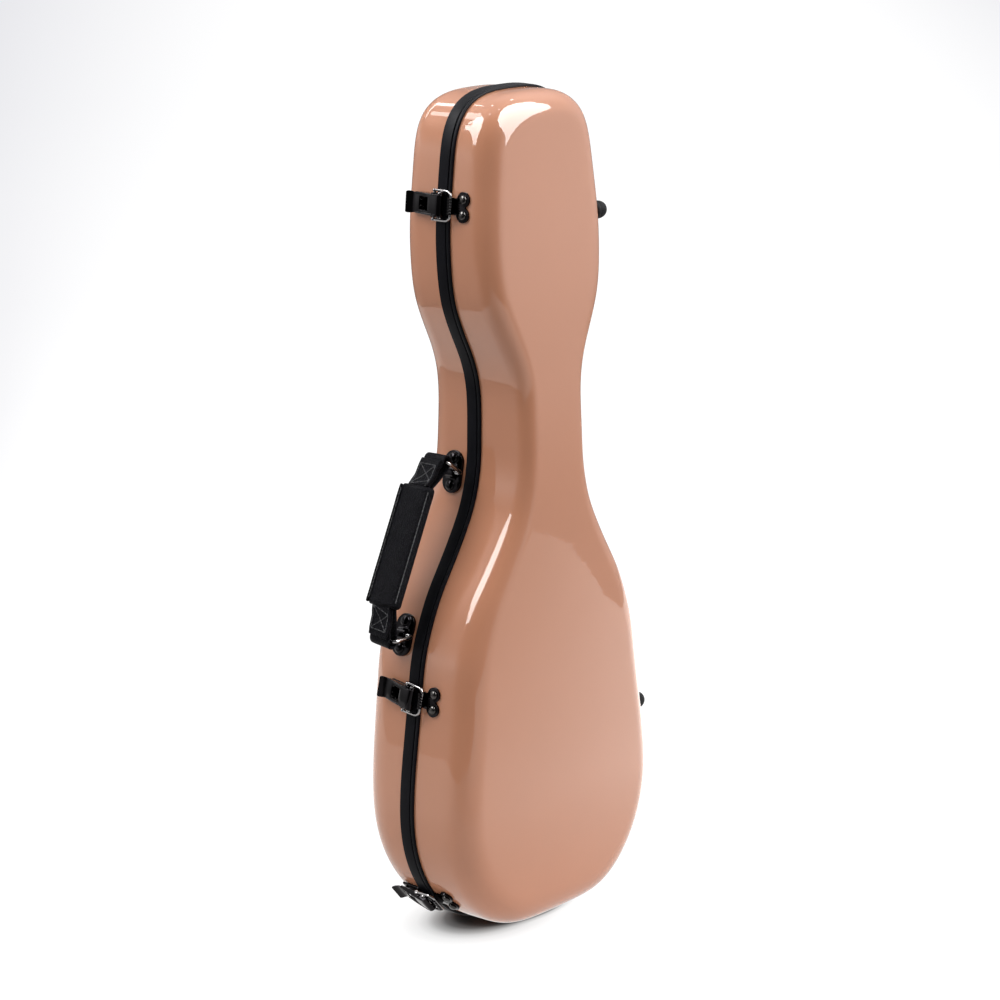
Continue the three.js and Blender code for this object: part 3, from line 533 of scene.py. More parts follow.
def make_leather():
    c = (0.0034, 0.0034, 0.0048)
    m, nt, b = material("pebbled_leather", c, 0.45, 0.0, Specular_IOR_Level=0.04)
    co = coords(nt)
    warp = add(nt, "ShaderNodeTexNoise", [(co, "Vector")])
    warp.inputs["Scale"].default_value = 300.0
    mixv = add(nt, "ShaderNodeVectorMath", [(warp.outputs["Color"], 0)], operation="SCALE")
    mixv.inputs["Scale"].default_value = 0.0012
    moved = add(nt, "ShaderNodeVectorMath", [(co, 0), (mixv.outputs[0], 1)], operation="ADD").outputs[0]
    cell = add(nt, "ShaderNodeTexVoronoi", [(moved, "Vector")], feature="F1")
    cell.inputs["Scale"].default_value = 620.0
    edge = add(nt, "ShaderNodeTexVoronoi", [(moved, "Vector")], feature="DISTANCE_TO_EDGE")
    edge.inputs["Scale"].default_value = 620.0
    groove = span(nt, edge.outputs["Distance"], 0.0, 1.0, 0.0, 0.22)
    pebble = mix_math(nt, "MULTIPLY", groove, mix_math(nt, "SUBTRACT", 1.25, cell.outputs["Distance"]))
    # painted shade: the colour is darker in the grooves between the pebbles, where shade falls
    nt.links.new(ramp(nt, groove, [(0.0, scaled(c, 0.45)), (1.0, scaled(c, 1.25))]), b.inputs["Base Color"])
    nt.links.new(span(nt, noise_tex(nt, co, 240.0, 3.0), 0.36, 0.55), b.inputs["Roughness"])
    fine = bump(nt, noise_tex(nt, co, 4200.0, 2.0), 0.15, 0.0001)
    nt.links.new(bump(nt, pebble, 0.75, 0.0004, fine), b.inputs["Normal"])
    return m


def make_plush(name, c, scale=2600.0):
    m, nt, b = material(name, c, 0.95, 0.0, Specular_IOR_Level=0.15, Sheen_Weight=0.45, Sheen_Roughness=0.4)
    b.inputs["Sheen Tint"].default_value = (*scaled(c, 6.0), 1)
    co = coords(nt)
    pile = noise_tex(nt, co, scale, 3.0, 0.7)
    brushed = noise_tex(nt, co, 28.0, 4.0, 0.6, 0.6)
    nt.links.new(ramp(nt, mix_math(nt, "ADD", mix_math(nt, "MULTIPLY", pile, 0.6), mix_math(nt, "MULTIPLY", brushed, 0.4)),
                      [(0.35, scaled(c, 0.55)), (0.5, c), (0.66, scaled(c, 1.7))]), b.inputs["Base Color"])
    low = bump(nt, brushed, 0.35, 0.0012)
    nt.links.new(bump(nt, pile, 0.7, 0.0006, low), b.inputs["Normal"])
    return m


def make_ribbon(c):
    m, nt, b = material("woven_ribbon", c, 0.8, 0.0, Sheen_Weight=0.2)
    co = coords(nt)
    waves = []
    for d in ("X", "Z"):
        w = add(nt, "ShaderNodeTexWave", [(co, "Vector")], wave_type="BANDS", bands_direction=d, wave_profile="SIN")
        w.inputs["Scale"].default_value = 380.0
        waves.append(w.outputs["Fac"])
    weave = mix_math(nt, "MULTIPLY", *waves)
    nt.links.new(ramp(nt, weave, [(0.0, scaled(c, 0.5)), (1.0, scaled(c, 1.3))]), b.inputs["Base Color"])
    nt.links.new(bump(nt, weave, 0.6, 0.0003), b.inputs["Normal"])
    return m


def make_thread(c):
    m, nt, b = material("waxed_thread", c, 0.6)
    co = coords(nt)
    w = add(nt, "ShaderNodeTexWave", [(co, "Vector")], wave_type="BANDS", bands_direction="DIAGONAL")
    w.inputs["Scale"].default_value = 900.0
    nt.links.new(ramp(nt, w.outputs["Fac"], [(0.0, scaled(c, 0.5)), (1.0, scaled(c, 1.4))]), b.inputs["Base Color"])
    nt.links.new(bump(nt, w.outputs["Fac"], 0.4, 0.0002), b.inputs["Normal"])
    return m


PAINT = (0.55, 0.243, 0.139)
GELCOAT = make_gelcoat()
BAND_RUBBER = make_rubber("band_rubber", (0.0050, 0.0050, 0.0066), 0.36, 0.46)
FOOT_RUBBER = make_rubber("foot_rubber", (0.011, 0.011, 0.012), 0.55, 0.68, 900.0, 0.25)
BLACK_NICKEL = make_nickel("black_nickel", (0.014, 0.013, 0.014), 0.06, 0.14)
DARK_RIVET = make_nickel("rivet_nickel", (0.060, 0.057, 0.055), 0.14, 0.26)
WIRE_NICKEL = make_nickel("wire_nickel", (0.30, 0.29, 0.29), 0.08, 0.16)
LEATHER = make_leather()
PLUSH = make_plush("plush_lining", (0.030, 0.030, 0.034))
PLUSH_BOX = make_plush("plush_box", (0.034, 0.033, 0.036), 3000.0)
RIBBON = make_ribbon((0.035, 0.035, 0.04))
THREAD = make_thread((0.012, 0.012, 0.014))


# ------------------------------------------------------------------ shells and linings
def crown(part, x, z):
    w = half_width(z)
    return part.crown * (w * w - x * x) / 120.0 ** 2


def depth_at(part, z, t_floor):
    """Depth of the face's edge, less the crown that it will get there."""
    w, r = half_width(z), part.radius(z) * SOFT_R
    return part.depth(z) - t_floor - part.crown * (w * w - np.maximum(w - r - 2, 0) ** 2) / 120.0 ** 2


def surface(part, t_side, t_floor, y0, n_side, n_round, n_face, idx):
    """Rings of one surface of a half shell: from the rim at height y0, up the side, round the corner, and in to the face's spine."""
    z_i = OUTLINE[idx, 1]
    R = np.maximum(part.radius(z_i) - max(t_side, t_floor) * 0.9, 7) * SOFT_R
    D_i = depth_at(part, z_i, t_floor)
    rings = []
    for k in range(n_side + 1):
        f = k / n_side
        p = inset(idx, t_side + part.tan * (y0 + (D_i - R - y0) * f))
        y = y0 + (depth_at(part, p[:, 1], t_floor) - R - y0) * f + crown(part, p[:, 0], p[:, 1]) * f
        rings.append(np.stack([p[:, 0], part.side * y, p[:, 1]], 1))
    for k in range(1, n_round + 1):
        a = np.pi / 2 * k / n_round
        p = inset(idx, t_side + part.tan * (D_i - R) + R * (1 - max(math.cos(a), 0) ** (2 / SOFTER)))
        y = depth_at(part, p[:, 1], t_floor) - R + R * math.sin(a) ** (2 / SOFTER) + crown(part, p[:, 0], p[:, 1])
        rings.append(np.stack([p[:, 0], part.side * y, p[:, 1]], 1))
    edge = rings[-1][:, [0, 2]]
    zA, zB = edge[:, 1].min(), edge[:, 1].max()
    t = np.clip((edge[:, 1] - zA - 3) / (zB - zA - 6), 0, 1)
    spine = np.stack([np.zeros(len(idx)), (zA + 58) + (zB - 42 - zA - 58) * t], 1)
    for k in range(1, n_face + 1):
        q = k / n_face
        p = edge * (1 - q) + spine * q
        y = depth_at(part, p[:, 1], t_floor) + crown(part, p[:, 0], p[:, 1])
        rings.append(np.stack([p[:, 0], part.side * y, p[:, 1]], 1))
    return rings


RIM = PARTING_GAP + 1.4 + GAP
EVERY2 = ALL[::2]
for part, body in ((LID, "lid"), (BASE, "base")):
    outer = surface(part, 0, 0, RIM, 8, 24, 22, ALL)
    inner = surface(part, WALL, WALL, RIM, 3, 8, 6, ALL)
    v, f = weld(*loft(inner[::-1] + outer, False))
    put(make_mesh(f"{body}_shell_surface", v, f, GELCOAT, 50), body, f"{body}_shell")

    # foam lining: hidden back against the shell, a rounded rim, and the plush face
    back = surface(part, WALL + 0.5, WALL + 0.5, 3.4, 2, 6, 5, EVERY2)
    face = surface(part, WALL + 6.5, WALL + 9.5, 3.4, 8, 14, 16, EVERY2)
    rim = []
    for k in range(1, 12):
        a = np.pi * k / 12
        p = inset(EVERY2, WALL + 0.5 + 3.0 * (1 - math.cos(a)))
        y = np.full(len(EVERY2), 3.4 - 2.6 * math.sin(a) ** 0.8)
        rim.append(np.stack([p[:, 0], part.side * y, p[:, 1]], 1))
    v, f = weld(*loft(back[::-1] + rim + face, False))
    v = np.array(v)
    soft = np.array([noise.noise(Vector(p * 0.02)) + 0.4 * noise.noise(Vector(p * 0.06)) for p in v])
    v[:, 1] += part.side * 0.35 * soft * (np.abs(v[:, 1]) > 6)
    lining = put(make_mesh(f"{body}_lining_plush", v, f, PLUSH, 60), body, f"{body}_lining")


# ------------------------------------------------------------------ edge bands
def ring_band(part, section):
    return loft([np.stack([*(lambda p: (p[:, 0], np.full(FINE, part.side * y), p[:, 1]))(inset(ALL, -o))], 1) for o, y in section], True)


def arc2(cx, cy, r, a0, a1, n):
    return [(cx + r * math.cos(math.radians(a0 + (a1 - a0) * k / n)), cy + r * math.sin(math.radians(a0 + (a1 - a0) * k / n))) for k in range(n + 1)]


P, W1 = BAND_PROUD, BASE_BAND_W
base_section = [(-WALL - 0.2, PARTING_GAP), (P - 1.0, PARTING_GAP)] + arc2(P - 0.55, PARTING_GAP + 0.55, 0.55, -90, 0, 5) + \
    [(P + 0.10, 2.4), (P + 0.2, 4.4), (P + 0.24, 6.3), (P + 0.2, 8.2), (P + 0.08, 10.0)] + arc2(P - 0.85, W1 - 0.85, 0.85, 8, 90, 6) + \
    [(0.35, W1), (GAP, W1 - 0.25), (GAP, PARTING_GAP + 1.4), (-WALL - 0.2, PARTING_GAP + 1.4)]
v, f = ring_band(BASE, base_section)
put(make_mesh("base_edge_band_rubber", v, f, BAND_RUBBER, 45), "base", "base_edge_band")
W1 = LID_BAND_W
lid_section = [(-WALL - 0.2, PARTING_GAP), (P - 0.9, PARTING_GAP)] + arc2(P - 0.5, PARTING_GAP + 0.5, 0.5, -90, 0, 4) + \
    [(P + 0.06, 1.8)] + arc2(P - 0.7, W1 - 0.7, 0.7, 5, 90, 5) + [(0.35, W1), (GAP, W1 - 0.2), (GAP, PARTING_GAP + 1.4), (-WALL - 0.2, PARTING_GAP + 1.4)]
v, f = ring_band(LID, lid_section)
put(make_mesh("lid_edge_band_rubber", v, f, BAND_RUBBER, 45), "lid", "lid_edge_band")


# ------------------------------------------------------------------ draw latches
def dome(r, h, lip=0.35, n=10):
    """Domed rivet head: a short cylinder, then a cap."""
    p = [(0, 0), (r - 0.15, 0), (r, 0.15), (r, lip)]
    p += [(r * math.cos(a) ** 0.9, lip + (h - lip) * math.sin(a)) for a in np.linspace(0.12, math.pi / 2 - 0.05, n)]
    return p + [(0, h)]


def union_outline(shapes, centre, n=120, smooth=5):
    """Outline of a star-shaped union of circles and boxes, with its inner corners softened."""
    out = []
    for k in range(n):
        a = 2 * math.pi * (k + 0.5) / n
        d = np.array([math.cos(a), math.sin(a)])
        best = 0.0
        for s in shapes:
            for r in np.linspace(0.05, 16, 400):
                x, y = centre[0] + d[0] * r, centre[1] + d[1] * r
                inside = (math.hypot(x - s[1], y - s[2]) < s[3]) if s[0] == "c" else (s[1] < x < s[2] and s[3] < y < s[4])
                if inside and r > best:
                    best = r
        out.append(best)
    r = np.array(out)
    for _ in range(smooth):
        r = 0.25 * np.roll(r, 1) + 0.5 * r + 0.25 * np.roll(r, -1)
    return [(centre[0] + r[k] * math.cos(2 * math.pi * (k + 0.5) / n), centre[1] + r[k] * math.sin(2 * math.pi * (k + 0.5) / n)) for k in range(n)]


STRIKE_OUTLINE = union_outline([("c", 15.7, 6.0, 6.0), ("c", 15.7, -6.0, 6.0), ("b", 3.9, 15.0, -6.4, 6.4), ("b", 11.5, 17.6, -3.4, 3.4)], (12.6, 0.0))


SLOPE = 6.7 / 30.1          # the lever runs down to the wall


def latch(name, i, turn=0.0):
    lid_place = fitting(i)
    ax, ay = LEVER_AXIS
    bx, by = LINK_AXIS
    low = BASE.tan
    # the base side may sit a little turned on the wall
    c, t = math.cos(math.radians(-turn)), math.sin(math.radians(-turn))
    rot = np.array([[1, 0, 0], [0, c, -t], [0, t, c]])
    mid = np.array([0, (ay + by) / 2, 0])
    place = (lid_place[0] + lid_place[1] @ (mid + np.array([0, LATCH_SHIFT, 0]) - rot @ mid), lid_place[1] @ rot)

    # plate on the base shell: a flat foot that follows the wall, two ears over the edge band
    p = Piece()
    foot = lattice([-32, -31, -28, -24, -19, -15.8, -15.0], [-8.2, -7.4, 7.4, 8.2], lambda u, v: True,
                   lambda u, v, w: (-0.35 + low * (u + 12) * 0.9 + 1.9 * w, u, v), 0.35, 3)
    p.add(foot)
    ear = [(0.4, -25), (0.7, -15.3), (2.5, -14.6), (2.9, -10.0), (3.4, -4.4), (5.0, -3.2), (7.0, -3.25), (8.2, -5.2), (8.0, -7.4), (4.6, -15.5), (2.2, -25)]
    ear = [tuple(q) for q in rounded([np.array(q, float) for q in ear], 0.9, True, 3)]
    for z0, z1 in ((5.0, 6.4), (-6.4, -5.0)):
        p.add(prism(ear, z0, z1, 0.25, 2))
    for z in (-4.6, 4.6):
        p.add(turned(dome(2.1, 1.3), (1.2 + low * -16, -28.4, z * 0.9), (1, 0, 0), 24))
    p.place(f"{name}_latch_plate_metal", place, BLACK_NICKEL, "base", f"{name}_latch_plate", "black_nickel")

    # lever: bent sheet with a rolled nose, a window, two rails, a flared tab and two pivot bosses
    path = rounded([np.array(q, float) for q in [(7.2, -2.75), (8.55, -2.75), (10.25, -4.6), (3.75, -33.6), (5.0, -36.6), (7.1, -39.7)]], [0, 1.2, 2.2, 3.2, 3.5, 0], False, 8)
    F, L = along(path)
    y_of = lambda u: F(u)[0][1]
    grid = np.linspace(0, L, 2000)
    at = lambda y: float(grid[np.argmin([abs(y_of(g) - y) if F(g)[0][0] > 3 else 1e9 for g in grid])])
    ua, ub = at(-15.4), at(-26.4)
    us = [0, 0.6] + list(np.linspace(1.2, 6.5, 8)) + [at(-9.5), at(-12.6), ua, at(-18.0), at(-20.6), at(-23.4), ub, at(-27.8), at(-29.0)] + list(np.linspace(at(-30.4), L - 1.0, 14)) + [L]
    vs = [-8.4, -7.5, -5.3, -2.6, 0, 2.6, 5.3, 7.5, 8.4]
    bend = at(-33.2)

    def sheet_map(u, v, w):
        q, t = F(u)
        flare = 1.0 + 0.03 * max(0.0, (u - bend) / 7.0)
        pinch = 1.0 - 0.05 * math.exp(-((u - bend + 1.0) / 3.0) ** 2)
        n = np.array([-t[1], t[0]])
        belly = 0.4 * (1 - (v / 8.4) ** 2) * min(1.0, u / 6.0) * max(0.0, min(1.0, (bend + 2 - u) / 6))
        q = q + n * ((w - 0.5) * 1.15 + belly)
        corner = 1.0 - 0.10 * max(0.0, (u - L + 2.2) / 2.2) ** 2
        return (q[0], q[1], v * flare * pinch * corner)

    p = Piece()
    p.add(lattice(us, vs, lambda u, v: not (ua < u < ub and abs(v) < 5.3), sheet_map, 0.3, 3))
    # tongue bent down into the window
    x0 = F(ua)[0][0]
    tongue = lattice(list(np.linspace(0, 3.4, 6)), [-4.9, -4.0, 4.0, 4.9], lambda u, v: True,
                     lambda u, v, w: (x0 - 0.25 - 0.55 * u + (w - 0.5) * 1.0, -15.0 - u * 0.9, v), 0.22, 2)
    p.add(tongue)
    cheek = [(2.8, -31.5), (3.1, -20), (3.1, -8), (3.3, -3.8), (5.0, -2.3), (8.4, -2.4), (10.5, -4.7), (4.3, -32.6)]
    cheek = [tuple(q) for q in rounded([np.array(q, float) for q in cheek], 1.0, True, 4)]
    for z0, z1 in ((7.0, 8.4), (-8.4, -7.0)):
        p.add(prism(cheek, z0, z1, 0.28, 2))
    for s in (1, -1):          # raised rails along both edges
        rail = rounded([np.array([10.1 - SLOPE * 2.0 + 0.35, -7.0, 7.5 * s]), np.array([10.8 - SLOPE * 16.6 + 0.1, -21.0, 7.5 * s]), np.array([10.8 - SLOPE * 27.1 - 0.15, -31.5, 7.3 * s])], 2, False, 4)
        p.add(tube(rail, 0.62, 0.62, (0.97, 0.24, 0), False, 12))
        # bosses round the link's pivots and the hinge pin
        p.add(turned(dome(2.9, 1.5, 0.7), (bx + 0.2, by, 8.2 * s), (0, 0, s), 28))
        p.add(turned(dome(2.6, 1.2, 0.6), (ax, ay, 8.2 * s), (0, 0, s), 28))
    p.add(rod((7.3, -8.6, -6.8), (7.3, -8.6, 6.8), 1.9, 24, 0.4))        # rolled barrel between the cheeks
    p.place(f"{name}_latch_lever_metal", place, BLACK_NICKEL, f"{name}_lever", f"{name}_latch_lever", "black_nickel")

    p = Piece()
    p.add(rod((ax, ay, -9.3), (ax, ay, 9.3), 1.2, 18, 0.2))
    for s in (1, -1):
        p.add(turned([(0, 0), (1.9, 0), (2.1, 0.2), (2.0, 0.75), (1.3, 1.15), (0, 1.25)], (ax, ay, 9.2 * s), (0, 0, s), 24))
    p.place(f"{name}_latch_pin_metal", place, WIRE_NICKEL, "base", f"{name}_latch_pin", "bright_nickel")

    # link: forged bail, its two arms hung on the lever, its chamfered end over the hook
    x = 5.9
    bail = [np.array(q, float) for q in [(x, by, -11.55), (x, 2.0, -11.4), (x + 0.15, 5.2, -8.9), (x + 0.15, 5.2, 8.9), (x, 2.0, 11.4), (x, by, 11.55)]]
    p = Piece()
    p.add(tube(rounded(bail, [0, 1.6, 1.6, 1.6, 1.6, 0], False, 7), 0.92, 1.05, (1, 0, 0), False, 18))
    for s in (1, -1):
        p.add(turned(smooth_profile([(0, -0.3), (1.65, -0.3), (1.75, 1.5), (1.2, 1.8), (0, 1.85)], 0.35, 3), (bx, by, 10.55 * s), (0, 0, s), 28))
        p.add(rod((bx, by, 8.0 * s), (bx, by, 11.6 * s), 1.2, 18, 0.2))
    p.place(f"{name}_latch_link_metal", place, WIRE_NICKEL, f"{name}_link", f"{name}_latch_link", "bright_nickel")

    # strike on the lid: lobed plate, neck, toothed hook lip
    p = Piece()
    p.add(prism([(a, b) for a, b in STRIKE_OUTLINE], -0.25, 1.75, 0.4, 3, 0.7), SWAP)
    lip = [(0.2, 3.75), (5.6, 3.75), (7.0, 4.1), (7.75, 5.0), (7.6, 5.5), (6.9, 5.3), (5.9, 4.95), (1.4, 5.0), (0.2, 5.9)]
    p.add(prism([tuple(q) for q in rounded([np.array(q, float) for q in lip], 0.35, True, 3)], -6.6, 6.6, 0.25, 2))
    for k in range(6):          # teeth that curl over the link's bar
        z = -5.5 + 2.2 * k
        tooth = [(6.9, 4.4), (7.9, 5.0), (8.35, 6.6), (8.15, 8.2), (7.3, 9.1), (6.9, 8.95), (7.4, 8.1), (7.5, 6.6), (7.0, 5.4)]
        p.add(prism([tuple(q) for q in rounded([np.array(q, float) for q in tooth], 0.3, True, 3)], z - 0.72, z + 0.72, 0.18, 2))
    p.place(f"{name}_latch_strike_metal", lid_place, BLACK_NICKEL, "lid", f"{name}_latch_strike", "black_nickel")
    for s, z in (("a", 6), ("b", -6)):
        p = Piece()
        p.add(turned(dome(3.5, 2.25, 0.5, 12), (1.9, 16.2, z), (1, 0, 0), 40))
        p.place(f"{name}_strike_rivet_{s}_metal", lid_place, DARK_RIVET, "lid", f"{name}_strike_rivet_{s}", "bright_nickel", 50)


latch("upper", nearest(-71.5, 587.2))
latch("lower", nearest(-110.5, 200.8), 7.0)
latch("bottom", nearest(-91.8, 30.8))

# ------------------------------------------------------------------ handle
PICK = np.arange(RING_N) * FINE // RING_N


def wall_rise(i, reach):
    nx, nz = NORMALS[i]
    d = OUTLINE[PICK] - OUTLINE[i]
    loc = np.stack([d @ [nx, nz], d @ [nz, -nx]], 1)
    top = 0.0
    for k in range(RING_N):
        a, b = loc[k], loc[(k + 1) % RING_N]
        if abs(a[0]) > 60 and abs(b[0]) > 60:
            continue
        for s in range(21):
            q = a + (b - a) * s / 20
            if abs(q[1]) <= reach and q[0] > -30:
                top = max(top, q[0])
    return top


HANDLE = {"upper": {"i": nearest(-39.5, 366.3), "lean": (-0.807, 0.59)}, "lower": {"i": nearest(-101.2, 245.5), "lean": (-1.0, 0.015)}}


def stadium(length, width, n=20):
    r, h = width / 2, length / 2 - width / 2
    return [(r * math.cos(a), h + r * math.sin(a)) for a in np.linspace(0, math.pi, n)] + [(-r * math.cos(a), -h - r * math.sin(a)) for a in np.linspace(0, math.pi, n)]


for name, h in HANDLE.items():
    i = h["i"]
    place = fitting(i, HANDLE_Y)
    drop = BASE.tan * (HANDLE_Y - 9)
    rise = max(wall_rise(i, 18) - drop, 0) + GAP
    nx, nz = NORMALS[i]
    px, pz = OUTLINE[i]
    h["axis"] = np.array([px + nx * (rise + TUNNEL), pz + nz * (rise + TUNNEL)])
    p = Piece()
    p.add(prism(stadium(34.5, 18.3), rise - 1.6, rise + 1.5, 0.55, 4, 0.7), SWAP)
    # raised step round the saddle, then the saddle itself: a bent strip over the ring's bar
    p.add(prism(stadium(15.5, 12.6, 12), rise + 1.2, rise + 2.0, 0.3, 2, 0.7), SWAP)
    arch = rounded([np.array(q, float) for q in [(1.6, -6.4), (1.9, -5.0), (3.2, -3.9), (6.35, -2.7), (6.35, 2.7), (3.2, 3.9), (1.9, 5.0), (1.6, 6.4)]], [0, 0.8, 0.9, 1.8, 1.8, 0.9, 0.8, 0], False, 5)
    F, L = along(arch)

    def arch_map(u, v, w, F=F, rise=rise):
        q, t = F(u)
        n = np.array([-t[1], t[0]]) if t[1] < 0 else np.array([t[1], -t[0]])
        q = q + np.array([t[1], -t[0]]) * (w - 0.45) * 1.15
        return (q[0] + rise, v, q[1])

    p.add(lattice(list(np.linspace(0, L, 34)), [-4.9, -4.1, 0, 4.1, 4.9], lambda u, v: True, arch_map, 0.3, 2, 0.9))
    p.place(f"handle_{name}_plate_metal", place, BLACK_NICKEL, "base", f"handle_{name}_plate", "black_nickel")
    for s, z in (("a", 11), ("b", -11)):
        p = Piece()
        p.add(turned(dome(4.4, 2.75, 0.4, 14), (rise + 1.6, 0, z), (1, 0, 0), 44))
        p.add(turned([(0, 0), (5.3, 0), (5.5, 0.25), (5.3, 0.55), (0, 0.6)], (rise + 1.35, 0, z), (1, 0, 0), 44))
        p.place(f"handle_{name}_rivet_{s}_metal", place, BLACK_NICKEL, "base", f"handle_{name}_rivet_{s}", "bright_nickel", 50)
    lx, lz = h["lean"]
    u = np.array([lx, lz]) / math.hypot(lx, lz)
    h["bar"] = h["axis"] + u * RING_LEN
    e = np.array([u[0], 0, u[1]])
    fdir = np.array([0, 1.0, 0])
    o = np.array([h["axis"][0], HANDLE_Y, h["axis"][1]])
    w = RING_WID / 2
    corners = [o + e * a + fdir * y for a, y in ((0, -w), (RING_LEN, -w), (RING_LEN, w), (0, w))]
    p = Piece()
    p.add(tube(rounded(corners, 4.6, True, 10), RING_WIRE, RING_WIRE, np.cross(e, fdir), True, 20))
    p.place(f"handle_{name}_ring_wire", WORLD, WIRE_NICKEL if name == "lower" else WIRE_NICKEL, f"{name}_ring", f"handle_{name}_ring", "bright_nickel", 60)

ux, uz = HANDLE["upper"]["bar"]
lx, lz = HANDLE["lower"]["bar"]
SPAN = math.hypot(ux - lx, uz - lz) / 2
tx, tz = (ux - lx) / (2 * SPAN), (uz - lz) / (2 * SPAN)
GRIP = (np.array([(ux + lx) / 2, HANDLE_Y, (uz + lz) / 2]), np.array([[-tz, 0, tx], [0, -1, 0], [tx, 0, tz]]).T)
H = 10.4


def capsule(a, b, r, up, n=8):
    return tube([np.array(a) * (1 - s) + np.array(b) * s for s in (0, 0.25, 0.5, 0.75, 1)], r, r, up, False, n)


# strap: one ply from inside the grip, round the upper bar, over the grip's core, round the lower bar and back
def strap_path():
    r = 4.75
    def loop(sign):
        pts = []
        for k in range(25):
            a = math.radians(214 - 240 * k / 24)
            pts.append((r * math.cos(a), sign * (SPAN + r * math.sin(a))))
        return pts
    up = loop(1)
    low = loop(-1)[::-1]
    path = [(H - 2.4, 26), (H - 2.5, 42), (H - 3.2, 50)] + [(up[0][0] + 1.6, up[0][1] - 5.5)] + up + [(H - 2.0, 57.5), (H + 0.3, 51.5), (H + 1.2, 45), (H + 1.2, 0), (H + 1.2, -45), (H + 0.3, -51.5), (H - 2.0, -57.5)] + low + [(low[-1][0] + 1.6, low[-1][1] + 5.5)] + [(H - 3.2, -50), (H - 2.5, -42), (H - 2.4, -26)]
    p = np.array(path, float)
    # smooth where straight runs meet the loops
    s = np.concatenate([[0], np.cumsum(np.hypot(*np.diff(p, axis=0).T))])
    q = np.stack([np.interp(np.linspace(0, s[-1], 420), s, p[:, k]) for k in (0, 1)], 1)
    for _ in range(14):
        q[1:-1] = 0.25 * q[:-2] + 0.5 * q[1:-1] + 0.25 * q[2:]
    return q


F, L = along(strap_path())


def settle(x, y, z):
    """Slid towards the lid at the upper ring, twisted a little at the lower one."""
    up = min(max((z - 44) / 16, 0), 1)
    down = min(max((-z - 46) / 16, 0), 1)
    return (x, y + 1.6 * up * up * (3 - 2 * up), z - 0.11 * y * down * down * (3 - 2 * down))


def strap_map(u, v, w):
    q, t = F(u)
    n = np.array([t[1], -t[0]])                     # outer side of the loops
    edge = 1 - abs(v / 10.1) ** 4
    bulge = 0.25 * noise.noise(Vector((u * 0.09, v * 0.16, 3.0)))
    th = 2.35 * (0.86 + 0.14 * edge)
    q = q + n * (-(w - 0.5) * th - bulge)
    wide = 1.0 - 0.05 * math.exp(-((abs(q[1]) - (SPAN - 11)) / 5.0) ** 2)
    return settle(q[0], v * wide + 0.25 * noise.noise(Vector((u * 0.05, 7.0, 1.0))), q[1])


p = Piece()
p.add(lattice(list(np.linspace(0, L, 300)), [-10.1, -9.4, -8.2, -5.5, -2.8, 0, 2.8, 5.5, 8.2, 9.4, 10.1], lambda u, v: True, strap_map, 0.5, 3, 0.9))
# laps: each end is folded back on the outside and sewn with a crossed box
for s in (1, -1):
    lap_path = [(H + 1.6, s * 44.0), (H + 2.1, s * 49.0), (H + 0.9, s * 53.5), (H - 0.9, s * 57.5), (7.9, s * (SPAN - 3.5)), (7.75, s * (SPAN - 0.6))]
    lap = rounded([np.array(q, float) for q in lap_path], 3.0, False, 6)
    if s < 0:
        lap = lap[::-1]
    G, M = along(lap)

    def lap_map(u, v, w, G=G, M=M, s=s):
        q, t = G(u)
        n = np.array([t[1], -t[0]])
        n = n if n[0] > 0 else -n
        end = u if s > 0 else M - u
        slant = 0.34 * (v + 9.8) * (1 - min(end / 9.0, 1.0)) * s
        fade = min((M - end) / 5.0, 1.0)
        q = q + n * ((w - 0.35) * (1.9 * fade + 0.5) + 0.18 * noise.noise(Vector((u * 0.3, v * 0.2, 9.0 * s))))
        return settle(q[0], v * (1 - 0.02 * fade), q[1] + slant)

    p.add(lattice(list(np.linspace(0, M, 30)), [-9.8, -9.1, -7.8, -5.2, -2.6, 0, 2.6, 5.2, 7.8, 9.1, 9.8], lambda u, v: True, lap_map, 0.45, 3, 0.9))
strap = p.place("handle_strap_leather", GRIP, LEATHER, "handle", "handle_strap", "leather", 50)

# thread of the laps: border rows and a cross
p = Piece()
for s in (1, -1):
    def on_lap(y, z):
        zz = abs(z)
        x = np.interp(zz, [46, 49, 53.5, 57.5, SPAN - 3.5, SPAN], [H + 3.0, H + 3.5, H + 2.3, H + 0.6, 9.4, 9.0])
        return np.array(settle(x + 0.15, y, z))
    rows = []
    za, zb = 49.5, SPAN - 5.5
    for y in (-7.8, 7.8):
        rows.append(((y, za), (y, zb)))
    rows += [((-7.8, zb), (7.8, zb)), ((-7.8, za + 0.5), (7.8, za + 5.5)), ((-7.8, za + 1), (7.8, zb)), ((7.8, za + 5.5), (-7.8, zb))]
    for (y0, z0), (y1, z1) in rows:
        n = max(int(math.hypot(y1 - y0, z1 - z0) / 3.3), 2)
        for k in range(n):
            a, b = (k + 0.15) / n, (k + 0.85) / n
            p.add(capsule(on_lap(y0 + (y1 - y0) * a, s * (z0 + (z1 - z0) * a)), on_lap(y0 + (y1 - y0) * b, s * (z0 + (z1 - z0) * b)), 0.42, (1, 0, 0.01)))

# padded grip: a wrapped, stuffed sleeve with a sewn seam along its far edge
GH = 49.5
GW, GT = 15.5, 4.9


